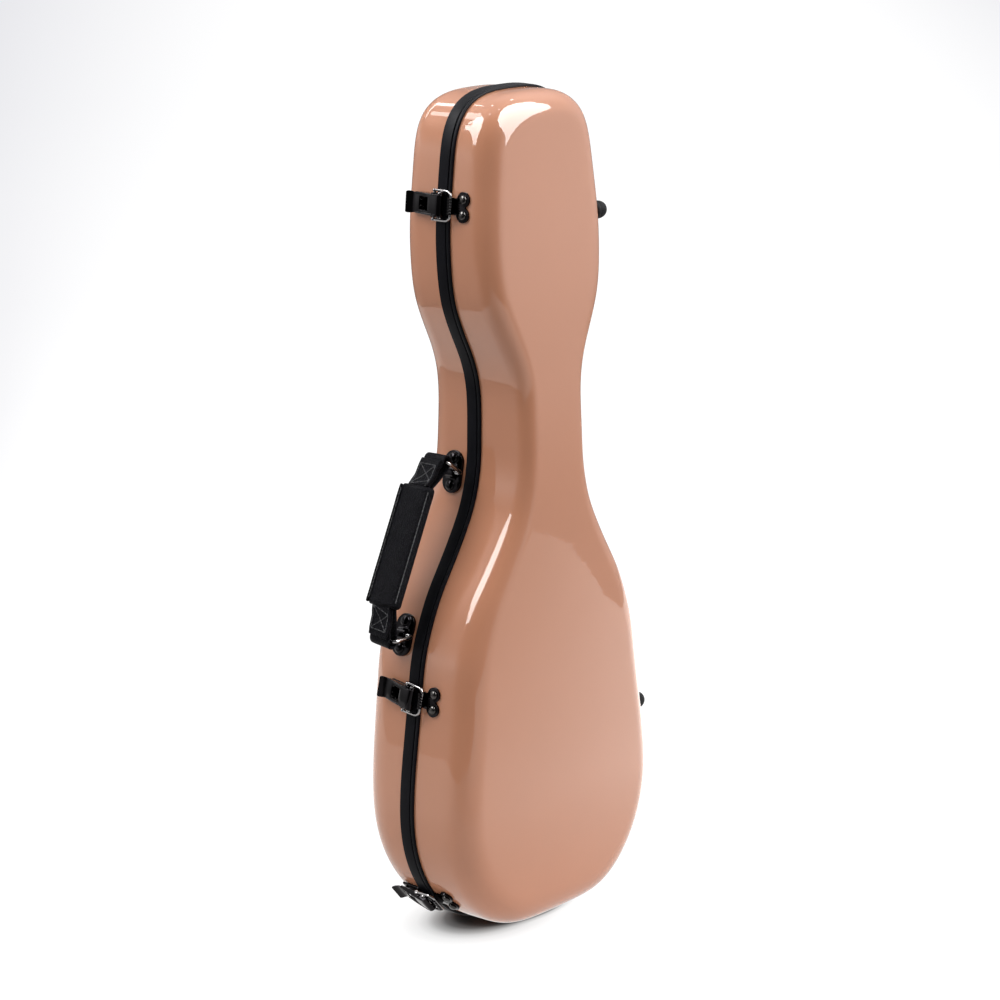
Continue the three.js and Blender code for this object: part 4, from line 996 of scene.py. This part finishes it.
def grip_ring(z):
    e = GH - abs(z)
    k = 1.0 if e > 3.2 else math.sqrt(max(1 - ((3.2 - e) / 3.2) ** 2, 0.0)) * 0.42 + 0.58
    kw = 1.0 if e > 3.2 else 1 - 0.10 * ((3.2 - e) / 3.2) ** 2
    n = 84
    pts = []
    for q in range(n):
        a = 2 * math.pi * q / n
        c, s = math.cos(a), math.sin(a)
        y = GW * kw * math.copysign(abs(c) ** (2 / 4.2), c)
        x = GT * k * math.copysign(abs(s) ** (2 / 2.7), s)
        if x > 0:
            x += 0.75 * k * (1 - (y / GW) ** 2)
            x -= 0.55 * math.exp(-((y + GW - 3.6) / 0.55) ** 2) * k        # crease beside the seam
            x -= 0.35 * math.exp(-((y - GW + 2.4) / 0.5) ** 2) * k
        wob = 0.22 * noise.noise(Vector((z * 0.055, y * 0.12, x * 0.1 + 2.0))) + 0.10 * noise.noise(Vector((z * 0.22, y * 0.3, 5.0)))
        pts.append((H + 0.2 + x * (1 + 0.02 * wob) + wob * (0.8 if x > 0 else 0.3), y + 0.15 * wob, z))
    return np.array(pts)


zs = sorted(set([-GH, -GH + 0.25, -GH + 0.8, -GH + 1.6, -GH + 2.6] + list(np.linspace(-GH + 3.6, GH - 3.6, 74)) + [GH - 2.6, GH - 1.6, GH - 0.8, GH - 0.25, GH]))
v, f = loft([grip_ring(z) for z in zs], False)
n = 84
f += [list(range(n))[::-1], list(range(len(v) - n, len(v)))]
g = Piece()
g.add((v, f))
# folded seam: two edges pressed together and standing proud
seam = [np.array([H + 3.1 + 0.12 * math.sin(z * 0.21), -GW - 0.15 + 0.12 * noise.noise(Vector((z * 0.07, 0, 0))), z]) for z in np.linspace(-GH + 2.2, GH - 2.2, 60)]
g.add(tube(seam, 1.25, 1.9, (1, 0.25, 0), False, 16))
grip = g.place("handle_grip_leather", GRIP, LEATHER, "handle", "handle_grip", "leather", 60)
for y, x in ((-GW + 2.1, H + 5.35), (GW - 1.2, H + 4.75)):
    n = 26
    for k in range(n):
        z0, z1 = -GH + 4 + (2 * GH - 8) * (k + 0.14) / n, -GH + 4 + (2 * GH - 8) * (k + 0.86) / n
        p.add(capsule((x, y, z0), (x, y, z1), 0.40, (1, 0, 0.01)))
threads = p.place("handle_thread", GRIP, THREAD, "handle", [], "leather", 60)


# ------------------------------------------------------------------ hinges
def common_tangent():
    a, b = nearest(120, 105), nearest(73, 575)
    x, z = OUTLINE[:, 0], OUTLINE[:, 1]
    for _ in range(6):
        t = OUTLINE[b] - OUTLINE[a]
        t = t / np.linalg.norm(t)
        n = np.array([t[1], -t[0]])
        v = OUTLINE @ n
        far = lambda z0, z1: int(np.argmax(np.where((x > 0) & (z > z0) & (z < z1), v, -1e9)))
        a, b = far(20, 300), far(450, 660)
    t = OUTLINE[b] - OUTLINE[a]
    t = t / np.linalg.norm(t)
    return a, b, np.array([t[1], -t[0]])


HA, HB, HN = common_tangent()


def hinge(name, i):
    nx, nz = HN
    place = (np.array([OUTLINE[i, 0], 0, OUTLINE[i, 1]]), np.array([[nx, 0, nz], [0, -1, 0], [nz, 0, -nx]]).T)
    R, K, x = 2.6, 15.0, AXIS_OUT

    def leaf_outline(s, y0):
        pts = [(s * y0, -K), (s * 17.5, -K), (s * 22, -K + 4.5), (s * 22, K - 4.5), (s * 17.5, K), (s * y0, K)]
        return [tuple(q) for q in rounded([np.array(q, float) for q in pts], [0.3, 3, 3, 3, 3, 0.3], True, 5)]

    for s, who, knuckles, y_in in ((-1, "base", ((5.2, K), (-K, -5.2)), 12.3), (1, "lid", ((-4.8, 4.8),), 4.0)):
        p = Piece()
        # seat against the shell beyond the band, step over the band
        p.add(prism(leaf_outline(s, y_in), -1.0, 3.9, 0.45, 3, 0.7), SWAP)
        p.add(prism([(s * 3.1, -K), (s * (y_in + 1.5), -K), (s * (y_in + 1.5), K), (s * 3.1, K)], 2.5, 3.9, 0.3, 2), SWAP)
        for z0, z1 in knuckles:
            p.add(rod((x, 0, z0), (x, 0, z1), R, 28, 0.3))
            web = [(2.6, s * 4.0), (3.9, s * 4.4), (6.4, s * 2.4), (7.2, s * 1.6), (5.8, s * 0.2), (3.6, s * 0.6)]
            p.add(prism([tuple(q) for q in web], z0 + 0.05, z1 - 0.05, 0.2, 2))
        for z in (-9.0, 9.0) if who == "base" else (-8.5, 8.5):
            p.add(turned(dome(3.1, 1.7, 0.4), (3.7, s * 17.0, z), (1, 0, 0), 32))
        p.place(f"{name}_hinge_{who}_leaf_metal", place, BLACK_NICKEL, who, f"{name}_hinge_{who}_leaf", "black_nickel")
    p = Piece()
    p.add(rod((x, 0, -K - 0.6), (x, 0, K + 0.6), 1.05, 16, 0.15))
    for s in (1, -1):
        p.add(turned([(0, 0), (1.9, 0), (2.05, 0.2), (1.9, 0.8), (1.1, 1.15), (0, 1.25)], (x, 0, s * (K + 0.3)), (0, 0, s), 24))
    p.place(f"{name}_hinge_pin_metal", place, WIRE_NICKEL, "base", f"{name}_hinge_pin", "black_nickel")


hinge("upper", HB)
hinge("lower", HA)


# ------------------------------------------------------------------ rubber feet
FOOT = smooth_profile([(0, -1.6), (7.6, -1.6), (7.6, 0.6), (7.1, 1.3), (7.3, 3.4), (6.8, 6.4), (5.3, 9.0), (2.8, 10.7), (1.7, 11.1), (0, 11.15)], 1.2, 5)


def side_foot(name, part, body, x, z, y):
    i = nearest(x, z)
    nx, nz = NORMALS[i]
    D, R = float(part.depth(OUTLINE[i, 1])), float(part.radius(OUTLINE[i, 1]))
    flat = D - R
    al = math.asin(min(max((y - flat) / R, 0), 1))
    q = inset(np.array([i]), np.array([part.tan * min(y, flat) + R * (1 - math.cos(al))]))[0]
    d = np.array([nx * math.cos(al), part.side * math.sin(al), nz * math.cos(al)])
    p = Piece()
    p.add(turned(FOOT, np.array([q[0], part.side * y, q[1]]) + d * 1.1, d, 48))
    p.place(f"{name}_rubber", WORLD, FOOT_RUBBER, body, name, "foot_rubber", 60)


side_foot("side_foot_lid_upper", LID, "lid", 72.8, 567, 27.8)
side_foot("side_foot_lid_lower", LID, "lid", 117.7, 148, 36)
side_foot("side_foot_base_upper", BASE, "base", 72.8, 567, 30)
side_foot("side_foot_base_lower", BASE, "base", 117.7, 148, 34)
for node, body, x, y in (("bottom_foot_lid_left", "lid", -36, -21), ("bottom_foot_lid_right", "lid", 36, -21), ("bottom_foot_base_left", "base", -36, 20.5), ("bottom_foot_base_right", "base", 36, 20.5)):
    p = Piece()
    p.add(turned(smooth_profile([(0, 0), (5.4, 0), (6.4, 0.35), (7.2, 1.4), (7.6, 3.4), (7.6, 5.6), (0, 5.6)], 0.6, 4), (x, y, -4.2), (0, 0, 1), 40))
    p.place(f"{node}_rubber", WORLD, FOOT_RUBBER, body, node, "foot_rubber", 60)


# ------------------------------------------------------------------ inside the base
def floor_at(z):
    return float(BASE.depth(z)) - 3.5 - 9.0


def puffed(g, amount, scale):
    v, f = g
    return np.array([q + amount * np.array(noise.noise_vector(Vector(q * scale))) for q in v]), f


z0, z1, w, top = 392.0, 420.0, 25.0, 2.5
deep = min(floor_at(z0), floor_at(z1)) - 1.5
pts = [(-w, deep - 9), (-w, top + 2.5), (-w + 2, top), (-20.5, top)] + [(-20.5 * math.cos(a), top + 15 * math.sin(a)) for a in np.linspace(0.12, math.pi - 0.12, 22)] + \
    [(20.5, top), (w - 2, top), (w, top + 2.5), (w, deep - 9), (w - 9, deep + 3), (-w + 9, deep + 3)]
SIDE = np.array([[1, 0, 0], [0, 1, 0], [0, 0, 1]], float)
p = Piece()
p.add(puffed(prism(pts, z0, z1, 2.2, 4, 0.7), 0.2, 0.05), SIDE)
cradle = p.place("neck_cradle_plush", WORLD, PLUSH_BOX, "base", "neck_cradle", "plush_lining", 60)

BOX_Z0, BOX_Z1, BOX_W, BOX_TOP, BOX_WALL = 508.0, 556.0, 46.0, 13.0, 3.0
deep = min(floor_at(BOX_Z0), floor_at(BOX_Z1)) - 0.6
p = Piece()
xs = [-BOX_W, -BOX_W + BOX_WALL, -20, 0, 20, BOX_W - BOX_WALL, BOX_W]
zs = [BOX_Z0, BOX_Z0 + BOX_WALL, (BOX_Z0 + BOX_Z1) / 2, BOX_Z1 - BOX_WALL, BOX_Z1]
bm = bmesh.new()
c = {}
def bv(x, y, z):
    k = (round(x, 3), round(y, 3), round(z, 3))
    if k not in c:
        c[k] = bm.verts.new(k)
    return c[k]
a, b, y0, y1, yi = BOX_W, BOX_W - BOX_WALL, BOX_TOP, deep + 3, deep - 2
o = [(-a, BOX_Z0), (a, BOX_Z0), (a, BOX_Z1), (-a, BOX_Z1)]
i4 = [(-b, BOX_Z0 + 3), (b, BOX_Z0 + 3), (b, BOX_Z1 - 3), (-b, BOX_Z1 - 3)]
for k in range(4):
    m = (k + 1) % 4
    bm.faces.new([bv(o[k][0], y0, o[k][1]), bv(o[m][0], y0, o[m][1]), bv(o[m][0], y1, o[m][1]), bv(o[k][0], y1, o[k][1])])
    bm.faces.new([bv(i4[m][0], y0, i4[m][1]), bv(i4[k][0], y0, i4[k][1]), bv(i4[k][0], yi, i4[k][1]), bv(i4[m][0], yi, i4[m][1])])
    bm.faces.new([bv(o[m][0], y0, o[m][1]), bv(o[k][0], y0, o[k][1]), bv(i4[k][0], y0, i4[k][1]), bv(i4[m][0], y0, i4[m][1])])
bm.faces.new([bv(x, y1, z) for x, z in o])
bm.faces.new([bv(x, yi, z) for x, z in i4[::-1]])
p.add(bevelled(bm, 1.1, 3, 0.6))
p.place("accessory_tray_plush", WORLD, PLUSH_BOX, "base", "accessory_tray", "plush_lining", 60)

# accessory lid: a padded board
y1 = BOX_TOP - 0.4
y0 = y1 - 2.6
us = list(np.linspace(-BOX_W + 1, BOX_W - 1, 26))
vs = list(np.linspace(BOX_Z0 + 0.3, BOX_Z1 - 4.5, 16))


def lid_map(u, v, w):
    ex = min((u + BOX_W - 1), (BOX_W - 1 - u)) / 9.0
    ez = min((v - BOX_Z0 - 0.3), (BOX_Z1 - 4.5 - v)) / 8.0
    puff = 0.9 * min(1, max(ex, 0)) ** 0.5 * min(1, max(ez, 0)) ** 0.5
    return (u, y1 if w == 0 else y0 + 0.9 - puff + 0.12 * noise.noise(Vector((u * 0.08, v * 0.08, 1))), v)


p = Piece()
p.add(lattice(us, vs, lambda u, v: True, lid_map, 0.7, 3, 0.9))
acc = p.place("accessory_lid_plush", WORLD, PLUSH_BOX, "accessory_lid", "accessory_lid", "plush_lining", 60)
# ribbon tab: folded loop sewn to the free edge
rp = rounded([np.array(q, float) for q in [(BOX_Z1 - 10, y0 - 0.35), (BOX_Z1 - 5.0, y0 - 0.5), (BOX_Z1 - 3.4, y0 + 0.6), (BOX_Z1 - 3.3, y1 - 0.1)]], 1.2, False, 6)
F, L = along(rp)


def rib_map(u, v, w):
    q, t = F(u)
    n = np.array([-t[1], t[0]])
    q = q - n * (w - 0.5) * 0.8
    return (v, q[1], q[0])


p = Piece()
p.add(lattice(list(np.linspace(0, L, 14)), [-8, -7.3, -3.5, 0, 3.5, 7.3, 8], lambda u, v: True, rib_map, 0.2, 2, 0.9))
p.place("accessory_lid_ribbon", WORLD, RIBBON, "accessory_lid", "accessory_lid_tab", "ribbon", 60)


# ------------------------------------------------------------------ floor, light, camera
def emission(name, color, strength):
    m = bpy.data.materials.new(name)
    m.use_nodes = True
    m.node_tree.nodes.clear()
    e = m.node_tree.nodes.new("ShaderNodeEmission")
    e.inputs["Color"].default_value = (*color, 1)
    e.inputs["Strength"].default_value = strength
    o = m.node_tree.nodes.new("ShaderNodeOutputMaterial")
    m.node_tree.links.new(e.outputs[0], o.inputs["Surface"])
    return m


def plain(name, color, rough):
    m, nt, b = material(name, color, rough, 0.0, Specular_IOR_Level=0.1)
    return m


def flat(name, corners, mat):
    me = bpy.data.meshes.new(name)
    me.from_pydata([tuple(c) for c in corners], [], [list(range(len(corners)))])
    me.materials.append(mat)
    o = bpy.data.objects.new(name, me)
    bpy.context.scene.collection.objects.link(o)
    return o


AMBIENT = 0.45
# how much of the light the floor throws back on the case, by distance from its foot
FLOOR_BOUNCE = [(0.0, 0.85), (0.12, 0.80), (0.45, 0.36), (1.2, 0.28)]
FLOOR_ALBEDO = 0.12
# painted shadow: how much of its own light the paper shows, by distance from the middle of the case's shadow, and from
# the middle of its foot; the glow is painted darker there in place of a cast shadow
SHADOW_AT, SHADOW_SIZE = (-0.035, 0.0), (0.045, 0.033)
SHADOW = [(0.0, 0.0), (0.4, 0.018), (0.75, 0.11), (1.0, 0.38), (1.15, 0.62), (1.35, 0.80), (1.7, 0.93), (2.1, 1.0)]
UNDER_CASE_SHADE_AT, UNDER_CASE_SHADE_SIZE = (0.002, -0.003), (0.061, 0.035)
# painted shade under the case: stops of the cut in the paper's glow round its foot
FOOT = [(0.0, 0.0), (0.88, 0.0), (1.0, 0.25), (1.08, 0.75), (1.2, 1.0)]
# painted shade: fall-off of the paper's light towards its far corners, painted into its glow, by distance: where it
# begins across the width, and how deep it is
LEFT_FROM = [(0.9, 0.95), (1.4, 0.86), (1.95, 0.80), (2.7, 0.64), (3.8, 0.50), (5.3, 0.40), (7.8, 0.30)]
LEFT_DEEP = [(0.9, 0.01), (1.4, 0.087), (1.95, 0.145), (2.7, 0.169), (3.8, 0.177), (5.3, 0.21), (7.8, 0.24)]
RIGHT_FROM = [(2.7, 0.95), (3.8, 0.85), (5.3, 0.70), (7.8, 0.50)]
RIGHT_DEEP = [(2.7, 0.0), (3.8, 0.03), (5.3, 0.08), (7.8, 0.165)]
PAPER = [(-0.56, 1.6), (-0.56, -0.27), (-0.45, -0.73), (-0.37, -1.66), (0.63, -1.65), (1.9, -1.25), (1.55, -0.42), (1.36, -0.15), (1.32, 0.0), (1.25, 0.06), (1.16, 0.10), (1.11, 0.15), (1.21, 0.35), (1.27, 0.7), (1.32, 1.6)]
PAPER_LIP = [(-0.56, 1.0, 0.11), (-0.56, -0.27, 0.11), (-0.45, -0.73, 0.06), (-0.37, -1.66, 0.05)]
PAPER_NEAR = (0.6, 1.0)
PAPER_FRONT = 0.5
PAPER_LEFT, PAPER_RIGHT = 1.3, 2.7
PAPER_BACK = 0.25
grey = lambda k: (k, k, k * 1.01)
# by height of the look: 0.5 is level, 0 straight down, 1 straight up
ROOM_RIGHT = [(0.0, grey(0.10)), (0.30, grey(0.30)), (0.36, grey(0.55)), (0.39, grey(0.75)), (0.42, grey(1.1)), (0.46, grey(1.8)), (0.56, grey(1.8)), (0.72, grey(1.5)), (0.80, grey(1.9)), (1.0, grey(1.6))]
ROOM_LEFT = [(0.0, grey(0.10)), (0.35, grey(0.55)), (0.40, grey(0.50)), (0.45, grey(0.60)), (0.50, grey(1.1)), (0.555, grey(1.7)), (0.60, grey(1.0)), (0.66, grey(0.5)), (0.80, grey(1.2)), (1.0, grey(1.5))]
ROOM_FRONT = 0.12
ROOM_BEYOND = 0.22
# name, azimuth, elevation, distance, width, height, radiance, seen by
LAMPS = [
    ("spot_1", 12, 53, 3.0, 0.14, 0.14, 30.0, "glossy"),
    ("spot_2", 64, 64, 3.0, 0.12, 0.12, 25.0, "glossy"),
    ("spot_3", -44, 80, 3.0, 0.12, 0.12, 25.0, "glossy"),
    ("spot_4", 154, 76, 3.0, 0.12, 0.12, 25.0, "glossy"),
    ("soft_right_warm", -58, 34, 3.0, 2.4, 2.0, 3.7, "diffuse"),
    ("soft_left", 148, 47, 1.7, 1.0, 0.95, 4.7, "diffuse"),
    ("soft_top", 60, 80, 2.8, 3.0, 3.0, 0.9, "diffuse"),
]
# windows as the gloss sees them: azimuth and elevation of the middle, distance, radiance at the lower and the upper edge, outline
WINDOWS = [
    ("window_right", -61, 32, 2.4, 11.0, 21.0, [(-59, 0), (-77, 15), (-97, 35), (-105, 54), (-80, 69), (-33, 66), (-20, 52), (-20, 39), (-26, 32), (-31, 24), (-36, 14), (-42, 6), (-45, -2)]),
    ("window_left", 145, 38, 2.0, 11.0, 21.0, [(121, 56), (150, 57), (165, 40), (161, 24), (160, 17), (148, 14), (137, 23), (133, 29), (128, 36), (115, 46)]),
    ("window_back", 112, 47, 2.2, 8.0, 9.0, [(103, 43), (99, 52), (118, 55), (121, 44), (112, 40)]),
    ("tube_back", 85, 40, 2.4, 10.0, 12.0, [(102, 26), (104, 30), (92, 39), (80, 46), (70, 48), (70, 44), (80, 40), (90, 33)]),
]
CAM_POS = np.array([-1953.32, -1630.46, 975.48])
CAM_F = np.array([0.74306, 0.62372, -0.24255])
CAM_R = np.array([0.64238, -0.76638, -0.00283])
CAM_U = np.array([0.18765, 0.15371, 0.97013])
cam_data = bpy.data.cameras.new("camera")
cam = bpy.data.objects.new("camera", cam_data)
bpy.context.scene.collection.objects.link(cam)
cam_data.sensor_width = 36.0
cam_data.lens = 3267.01 * 36.0 / 1000.0
cam_data.clip_start, cam_data.clip_end = 0.05, 60.0
m = Matrix((tuple(CAM_R), tuple(CAM_U), tuple(-CAM_F))).transposed().to_4x4()
m.translation = Vector(tuple((CAM_POS + SHIFT) * 0.001))
cam.matrix_world = m
bpy.context.scene.camera = cam

RIGHT_H = np.array([0.7665, -0.6422])       # horizontal axes of the set: along the paper's width, and away from its front
AWAY_H = np.array([0.6422, 0.7665])
BACK_RIGHT = np.array([0.6424, -0.7664])    # the same for the far corners
BACK_AWAY = np.array([0.7664, 0.6424])


def plane_axes(nt, right=None, away=None):
    co = coords(nt)
    out = []
    for h in (RIGHT_H if right is None else right, AWAY_H if away is None else away):
        n = add(nt, "ShaderNodeVectorMath", [(co, 0)], operation="DOT_PRODUCT")
        n.inputs[1].default_value = (h[0], h[1], 0)
        out.append(n.outputs["Value"])
    return co, out[0], out[1]


def curve(nt, x, stops):
    """Number from a number, by straight lines between the given stops."""
    top = stops[-1][0]
    return ramp(nt, mix_math(nt, "DIVIDE", x, top), [(a / top, (b, b, b)) for a, b in stops])


def round_distance(nt, co, at, size):
    moved = add(nt, "ShaderNodeVectorMath", [(co, 0)], operation="SUBTRACT")
    moved.inputs[1].default_value = (*at, 0)
    scale = add(nt, "ShaderNodeVectorMath", [(moved.outputs[0], 0)], operation="DIVIDE")
    scale.inputs[1].default_value = (*size, 1)
    return add(nt, "ShaderNodeVectorMath", [(scale.outputs[0], 0)], operation="LENGTH").outputs["Value"]


def floor_material():
    """White paper that glows, with a painted shadow of the case: its glow is cut near the case and under its foot, and
    painted darker towards the far corners of the room.
    """
    m = bpy.data.materials.new("floor_white")
    m.use_nodes = True
    nt = m.node_tree
    b = nt.nodes["Principled BSDF"]
    b.inputs["Roughness"].default_value = 0.9
    b.inputs["Specular IOR Level"].default_value = 0.0
    b.inputs["Base Color"].default_value = (FLOOR_ALBEDO, FLOOR_ALBEDO, FLOOR_ALBEDO, 1)
    co, u, v = plane_axes(nt, BACK_RIGHT, BACK_AWAY)
    across = mix_math(nt, "DIVIDE", u, mix_math(nt, "ADD", mix_math(nt, "MULTIPLY", v, 0.1484), 0.414))
    sides = []
    for side, begin, deep in ((mix_math(nt, "MULTIPLY", across, -1.0), LEFT_FROM, LEFT_DEEP), (across, RIGHT_FROM, RIGHT_DEEP)):
        t0 = curve(nt, v, begin)
        t = mix_math(nt, "DIVIDE", mix_math(nt, "SUBTRACT", side, t0), mix_math(nt, "SUBTRACT", 1.0, t0))
        t = mix_math(nt, "POWER", mix_math(nt, "MINIMUM", mix_math(nt, "MAXIMUM", t, 0.0), 1.2), 1.3)
        sides.append(mix_math(nt, "MULTIPLY", t, curve(nt, v, deep)))
    fall = mix_math(nt, "MAXIMUM", *sides)
    # painted shade: the glow's colour darkens and cools towards the far corners
    glow = ramp(nt, fall, [(0.0, (1.0, 1.0, 1.0)), (0.4, (0.6, 0.6, 0.65))])
    # painted shadow: the paper's glow is cut near the case's shadow and under its foot
    near = mix_math(nt, "MULTIPLY", curve(nt, round_distance(nt, co, SHADOW_AT, SHADOW_SIZE), SHADOW), curve(nt, round_distance(nt, co, UNDER_CASE_SHADE_AT, UNDER_CASE_SHADE_SIZE), FOOT))
    nt.links.new(glow, b.inputs["Emission Color"])
    nt.links.new(near, b.inputs["Emission Strength"])
    # the case itself is lit by less of it than the camera sees
    dull = nt.nodes.new("ShaderNodeBsdfDiffuse")
    nt.links.new(curve(nt, round_distance(nt, co, (0.0, 0.0), (1.0, 1.0)), FLOOR_BOUNCE), dull.inputs["Color"])
    pick = nt.nodes.new("ShaderNodeMixShader")
    path = nt.nodes.new("ShaderNodeLightPath")
    nt.links.new(path.outputs["Is Camera Ray"], pick.inputs[0])
    nt.links.new(dull.outputs[0], pick.inputs[1])
    nt.links.new(b.outputs[0], pick.inputs[2])
    nt.links.new(pick.outputs[0], nt.nodes["Material Output"].inputs["Surface"])
    m.diffuse_color = (0.9, 0.9, 0.9, 1)
    return m


floor = flat("floor", [(-12, -12, 0), (12, -12, 0), (12, 12, 0), (-12, 12, 0)], floor_material())
floor.visible_glossy = False


def only(o, camera=False, diffuse=False, glossy=False, shadow=False):
    o.visible_camera, o.visible_diffuse, o.visible_glossy, o.visible_shadow, o.visible_transmission, o.visible_volume_scatter = camera, diffuse, glossy, shadow, False, False
    return o


# the paper as the gloss sees it: it ends at both sides and in front, where the darker room floor begins
def on_floor(u, v):
    q = RIGHT_H * u + AWAY_H * v
    return (q[0], q[1], 0.0002)


def paper_material():
    """Brightness of the paper in the gloss: less in front of the case and in its shadow."""
    m = bpy.data.materials.new("paper_glow")
    m.use_nodes = True
    nt = m.node_tree
    nt.nodes.clear()
    e = nt.nodes.new("ShaderNodeEmission")
    co, u, v = plane_axes(nt)
    stretch = add(nt, "ShaderNodeVectorMath", [(co, 0)], operation="MULTIPLY")
    stretch.inputs[1].default_value = (1.0, 1.6, 0)
    r = add(nt, "ShaderNodeVectorMath", [(stretch.outputs[0], 0)], operation="LENGTH").outputs["Value"]
    near = span(nt, r, *PAPER_NEAR, 0.13, 0.55)
    front = span(nt, mix_math(nt, "ADD", v, mix_math(nt, "MULTIPLY", u, -0.35)), PAPER_FRONT, 1.0, -0.55, -0.1)
    side = span(nt, u, PAPER_LEFT, PAPER_RIGHT, -0.2, 0.5)
    back = span(nt, v, 1.0, PAPER_BACK, 0.5, 1.5)
    k = mix_math(nt, "MULTIPLY", mix_math(nt, "MULTIPLY", near, front), mix_math(nt, "MULTIPLY", side, back))
    nt.links.new(k, e.inputs["Strength"])
    e.inputs["Color"].default_value = (1.0, 0.985, 0.97, 1)
    nt.links.new(e.outputs[0], add(nt, "ShaderNodeOutputMaterial").inputs["Surface"])
    return m


PAPER_GLOW = paper_material()
only(flat("paper_reflection", [on_floor(*q) for q in PAPER], PAPER_GLOW), glossy=True)
# its left edge stands up a little
for k, ((a, b, h0), (c, d, h1)) in enumerate(zip(PAPER_LIP[:-1], PAPER_LIP[1:])):
    p, q = on_floor(a, b), on_floor(c, d)
    only(flat(f"paper_lip_{k}", [p, q, (*q[:2], h1), (*p[:2], h0)], PAPER_GLOW), glossy=True)


def direction(az, el):
    a, e = math.radians(az), math.radians(el)
    return Vector((math.cos(e) * math.cos(a), math.cos(e) * math.sin(a), math.sin(e)))


def area(name, centre, az, el, dist, w, h, radiance, color=(1, 1, 1), see="both"):
    """Rectangular lamp of an even radiance, facing the given centre from azimuth az and elevation el."""
    d = bpy.data.lights.new(name, "AREA")
    d.shape, d.size, d.size_y, d.color = "RECTANGLE", w, h, color
    d.energy = radiance * math.pi * w * h
    o = bpy.data.objects.new(name, d)
    bpy.context.scene.collection.objects.link(o)
    to = direction(az, el)
    o.location = Vector(centre) + to * dist
    o.rotation_mode = "QUATERNION"
    o.rotation_quaternion = to.to_track_quat("Z", "Y")
    return only(o, diffuse=see in ("both", "diffuse"), glossy=see in ("both", "glossy"))


HEAD = (-0.04, -0.03, 0.65)
for name, az, el, dist, w, h, radiance, see in LAMPS:
    area(name, HEAD if see == "glossy" else (0, 0, 0.3), az, el, dist, w, h, radiance, (1.0, 0.975, 0.95) if "warm" in name else (1, 1, 1), see)


def window(name, az, el, dist, low, high, outline):
    """Glowing sheet that only the gloss sees, facing the head, with the given outline of directions."""
    to = direction(az, el)
    corners = [Vector(HEAD) + direction(*q) * (dist / direction(*q).dot(to)) for q in outline]
    m = emission(name, (1, 1, 1), low)
    nt = m.node_tree
    z = add(nt, "ShaderNodeSeparateXYZ", [(add(nt, "ShaderNodeNewGeometry").outputs["Position"], 0)]).outputs[2]
    nt.links.new(span(nt, z, low, high, min(c.z for c in corners), max(c.z for c in corners)), next(n for n in nt.nodes if n.type == "EMISSION").inputs["Strength"])
    only(flat(name, corners, m), glossy=True)


for row in WINDOWS:
    window(*row)

world = bpy.data.worlds.new("studio")
bpy.context.scene.world = world
world.use_nodes = True
nt = world.node_tree
nt.nodes.clear()
out = nt.nodes.new("ShaderNodeOutputWorld")
path = nt.nodes.new("ShaderNodeLightPath")
seen = nt.nodes.new("ShaderNodeBackground")
seen.inputs["Color"].default_value = (0.93, 0.935, 0.95, 1)
seen.inputs["Strength"].default_value = 1.0
soft = nt.nodes.new("ShaderNodeBackground")
soft.inputs["Color"].default_value = (1.0, 1.0, 1.0, 1)
soft.inputs["Strength"].default_value = AMBIENT
room = nt.nodes.new("ShaderNodeBackground")
room.inputs["Strength"].default_value = 1.0
way = nt.nodes.new("ShaderNodeTexCoord").outputs["Generated"]


def towards(vec):
    n = nt.nodes.new("ShaderNodeVectorMath")
    n.operation = "DOT_PRODUCT"
    nt.links.new(way, n.inputs[0])
    n.inputs[1].default_value = vec
    return n.outputs["Value"]


height = towards((0, 0, 1))
right_room = ramp(nt, mix_math(nt, "ADD", mix_math(nt, "MULTIPLY", height, 0.5), 0.5), ROOM_RIGHT)
left_room = ramp(nt, mix_math(nt, "ADD", mix_math(nt, "MULTIPLY", height, 0.5), 0.5), ROOM_LEFT)
side_of = span(nt, towards((0.77, -0.64, 0)), 0.0, 1.0, -0.05, 0.45)
blend = nt.nodes.new("ShaderNodeMix")
blend.data_type = "RGBA"
nt.links.new(side_of, blend.inputs[0])
nt.links.new(left_room, blend.inputs[6])
nt.links.new(right_room, blend.inputs[7])
behind = span(nt, towards((-0.757, -0.635, 0.155)), 1.0, ROOM_FRONT, 0.18, 0.62)
dim = nt.nodes.new("ShaderNodeVectorMath")
dim.operation = "SCALE"
nt.links.new(blend.outputs[2], dim.inputs[0])
nt.links.new(behind, dim.inputs["Scale"])
beyond = span(nt, towards((0.743, 0.624, -0.243)), 1.0, ROOM_BEYOND, 0.4, 0.92)
dim2 = nt.nodes.new("ShaderNodeVectorMath")
dim2.operation = "SCALE"
nt.links.new(dim.outputs[0], dim2.inputs[0])
nt.links.new(beyond, dim2.inputs["Scale"])
nt.links.new(dim2.outputs[0], room.inputs["Color"])
first = nt.nodes.new("ShaderNodeMixShader")
nt.links.new(path.outputs["Is Glossy Ray"], first.inputs[0])
nt.links.new(soft.outputs[0], first.inputs[1])
nt.links.new(room.outputs[0], first.inputs[2])
last = nt.nodes.new("ShaderNodeMixShader")
nt.links.new(path.outputs["Is Camera Ray"], last.inputs[0])
nt.links.new(first.outputs[0], last.inputs[1])
nt.links.new(seen.outputs[0], last.inputs[2])
nt.links.new(last.outputs[0], out.inputs["Surface"])

view = bpy.context.scene.view_settings
view.view_transform = "Standard"
view.look = "None"
view.exposure = 0.0
view.gamma = 1.0
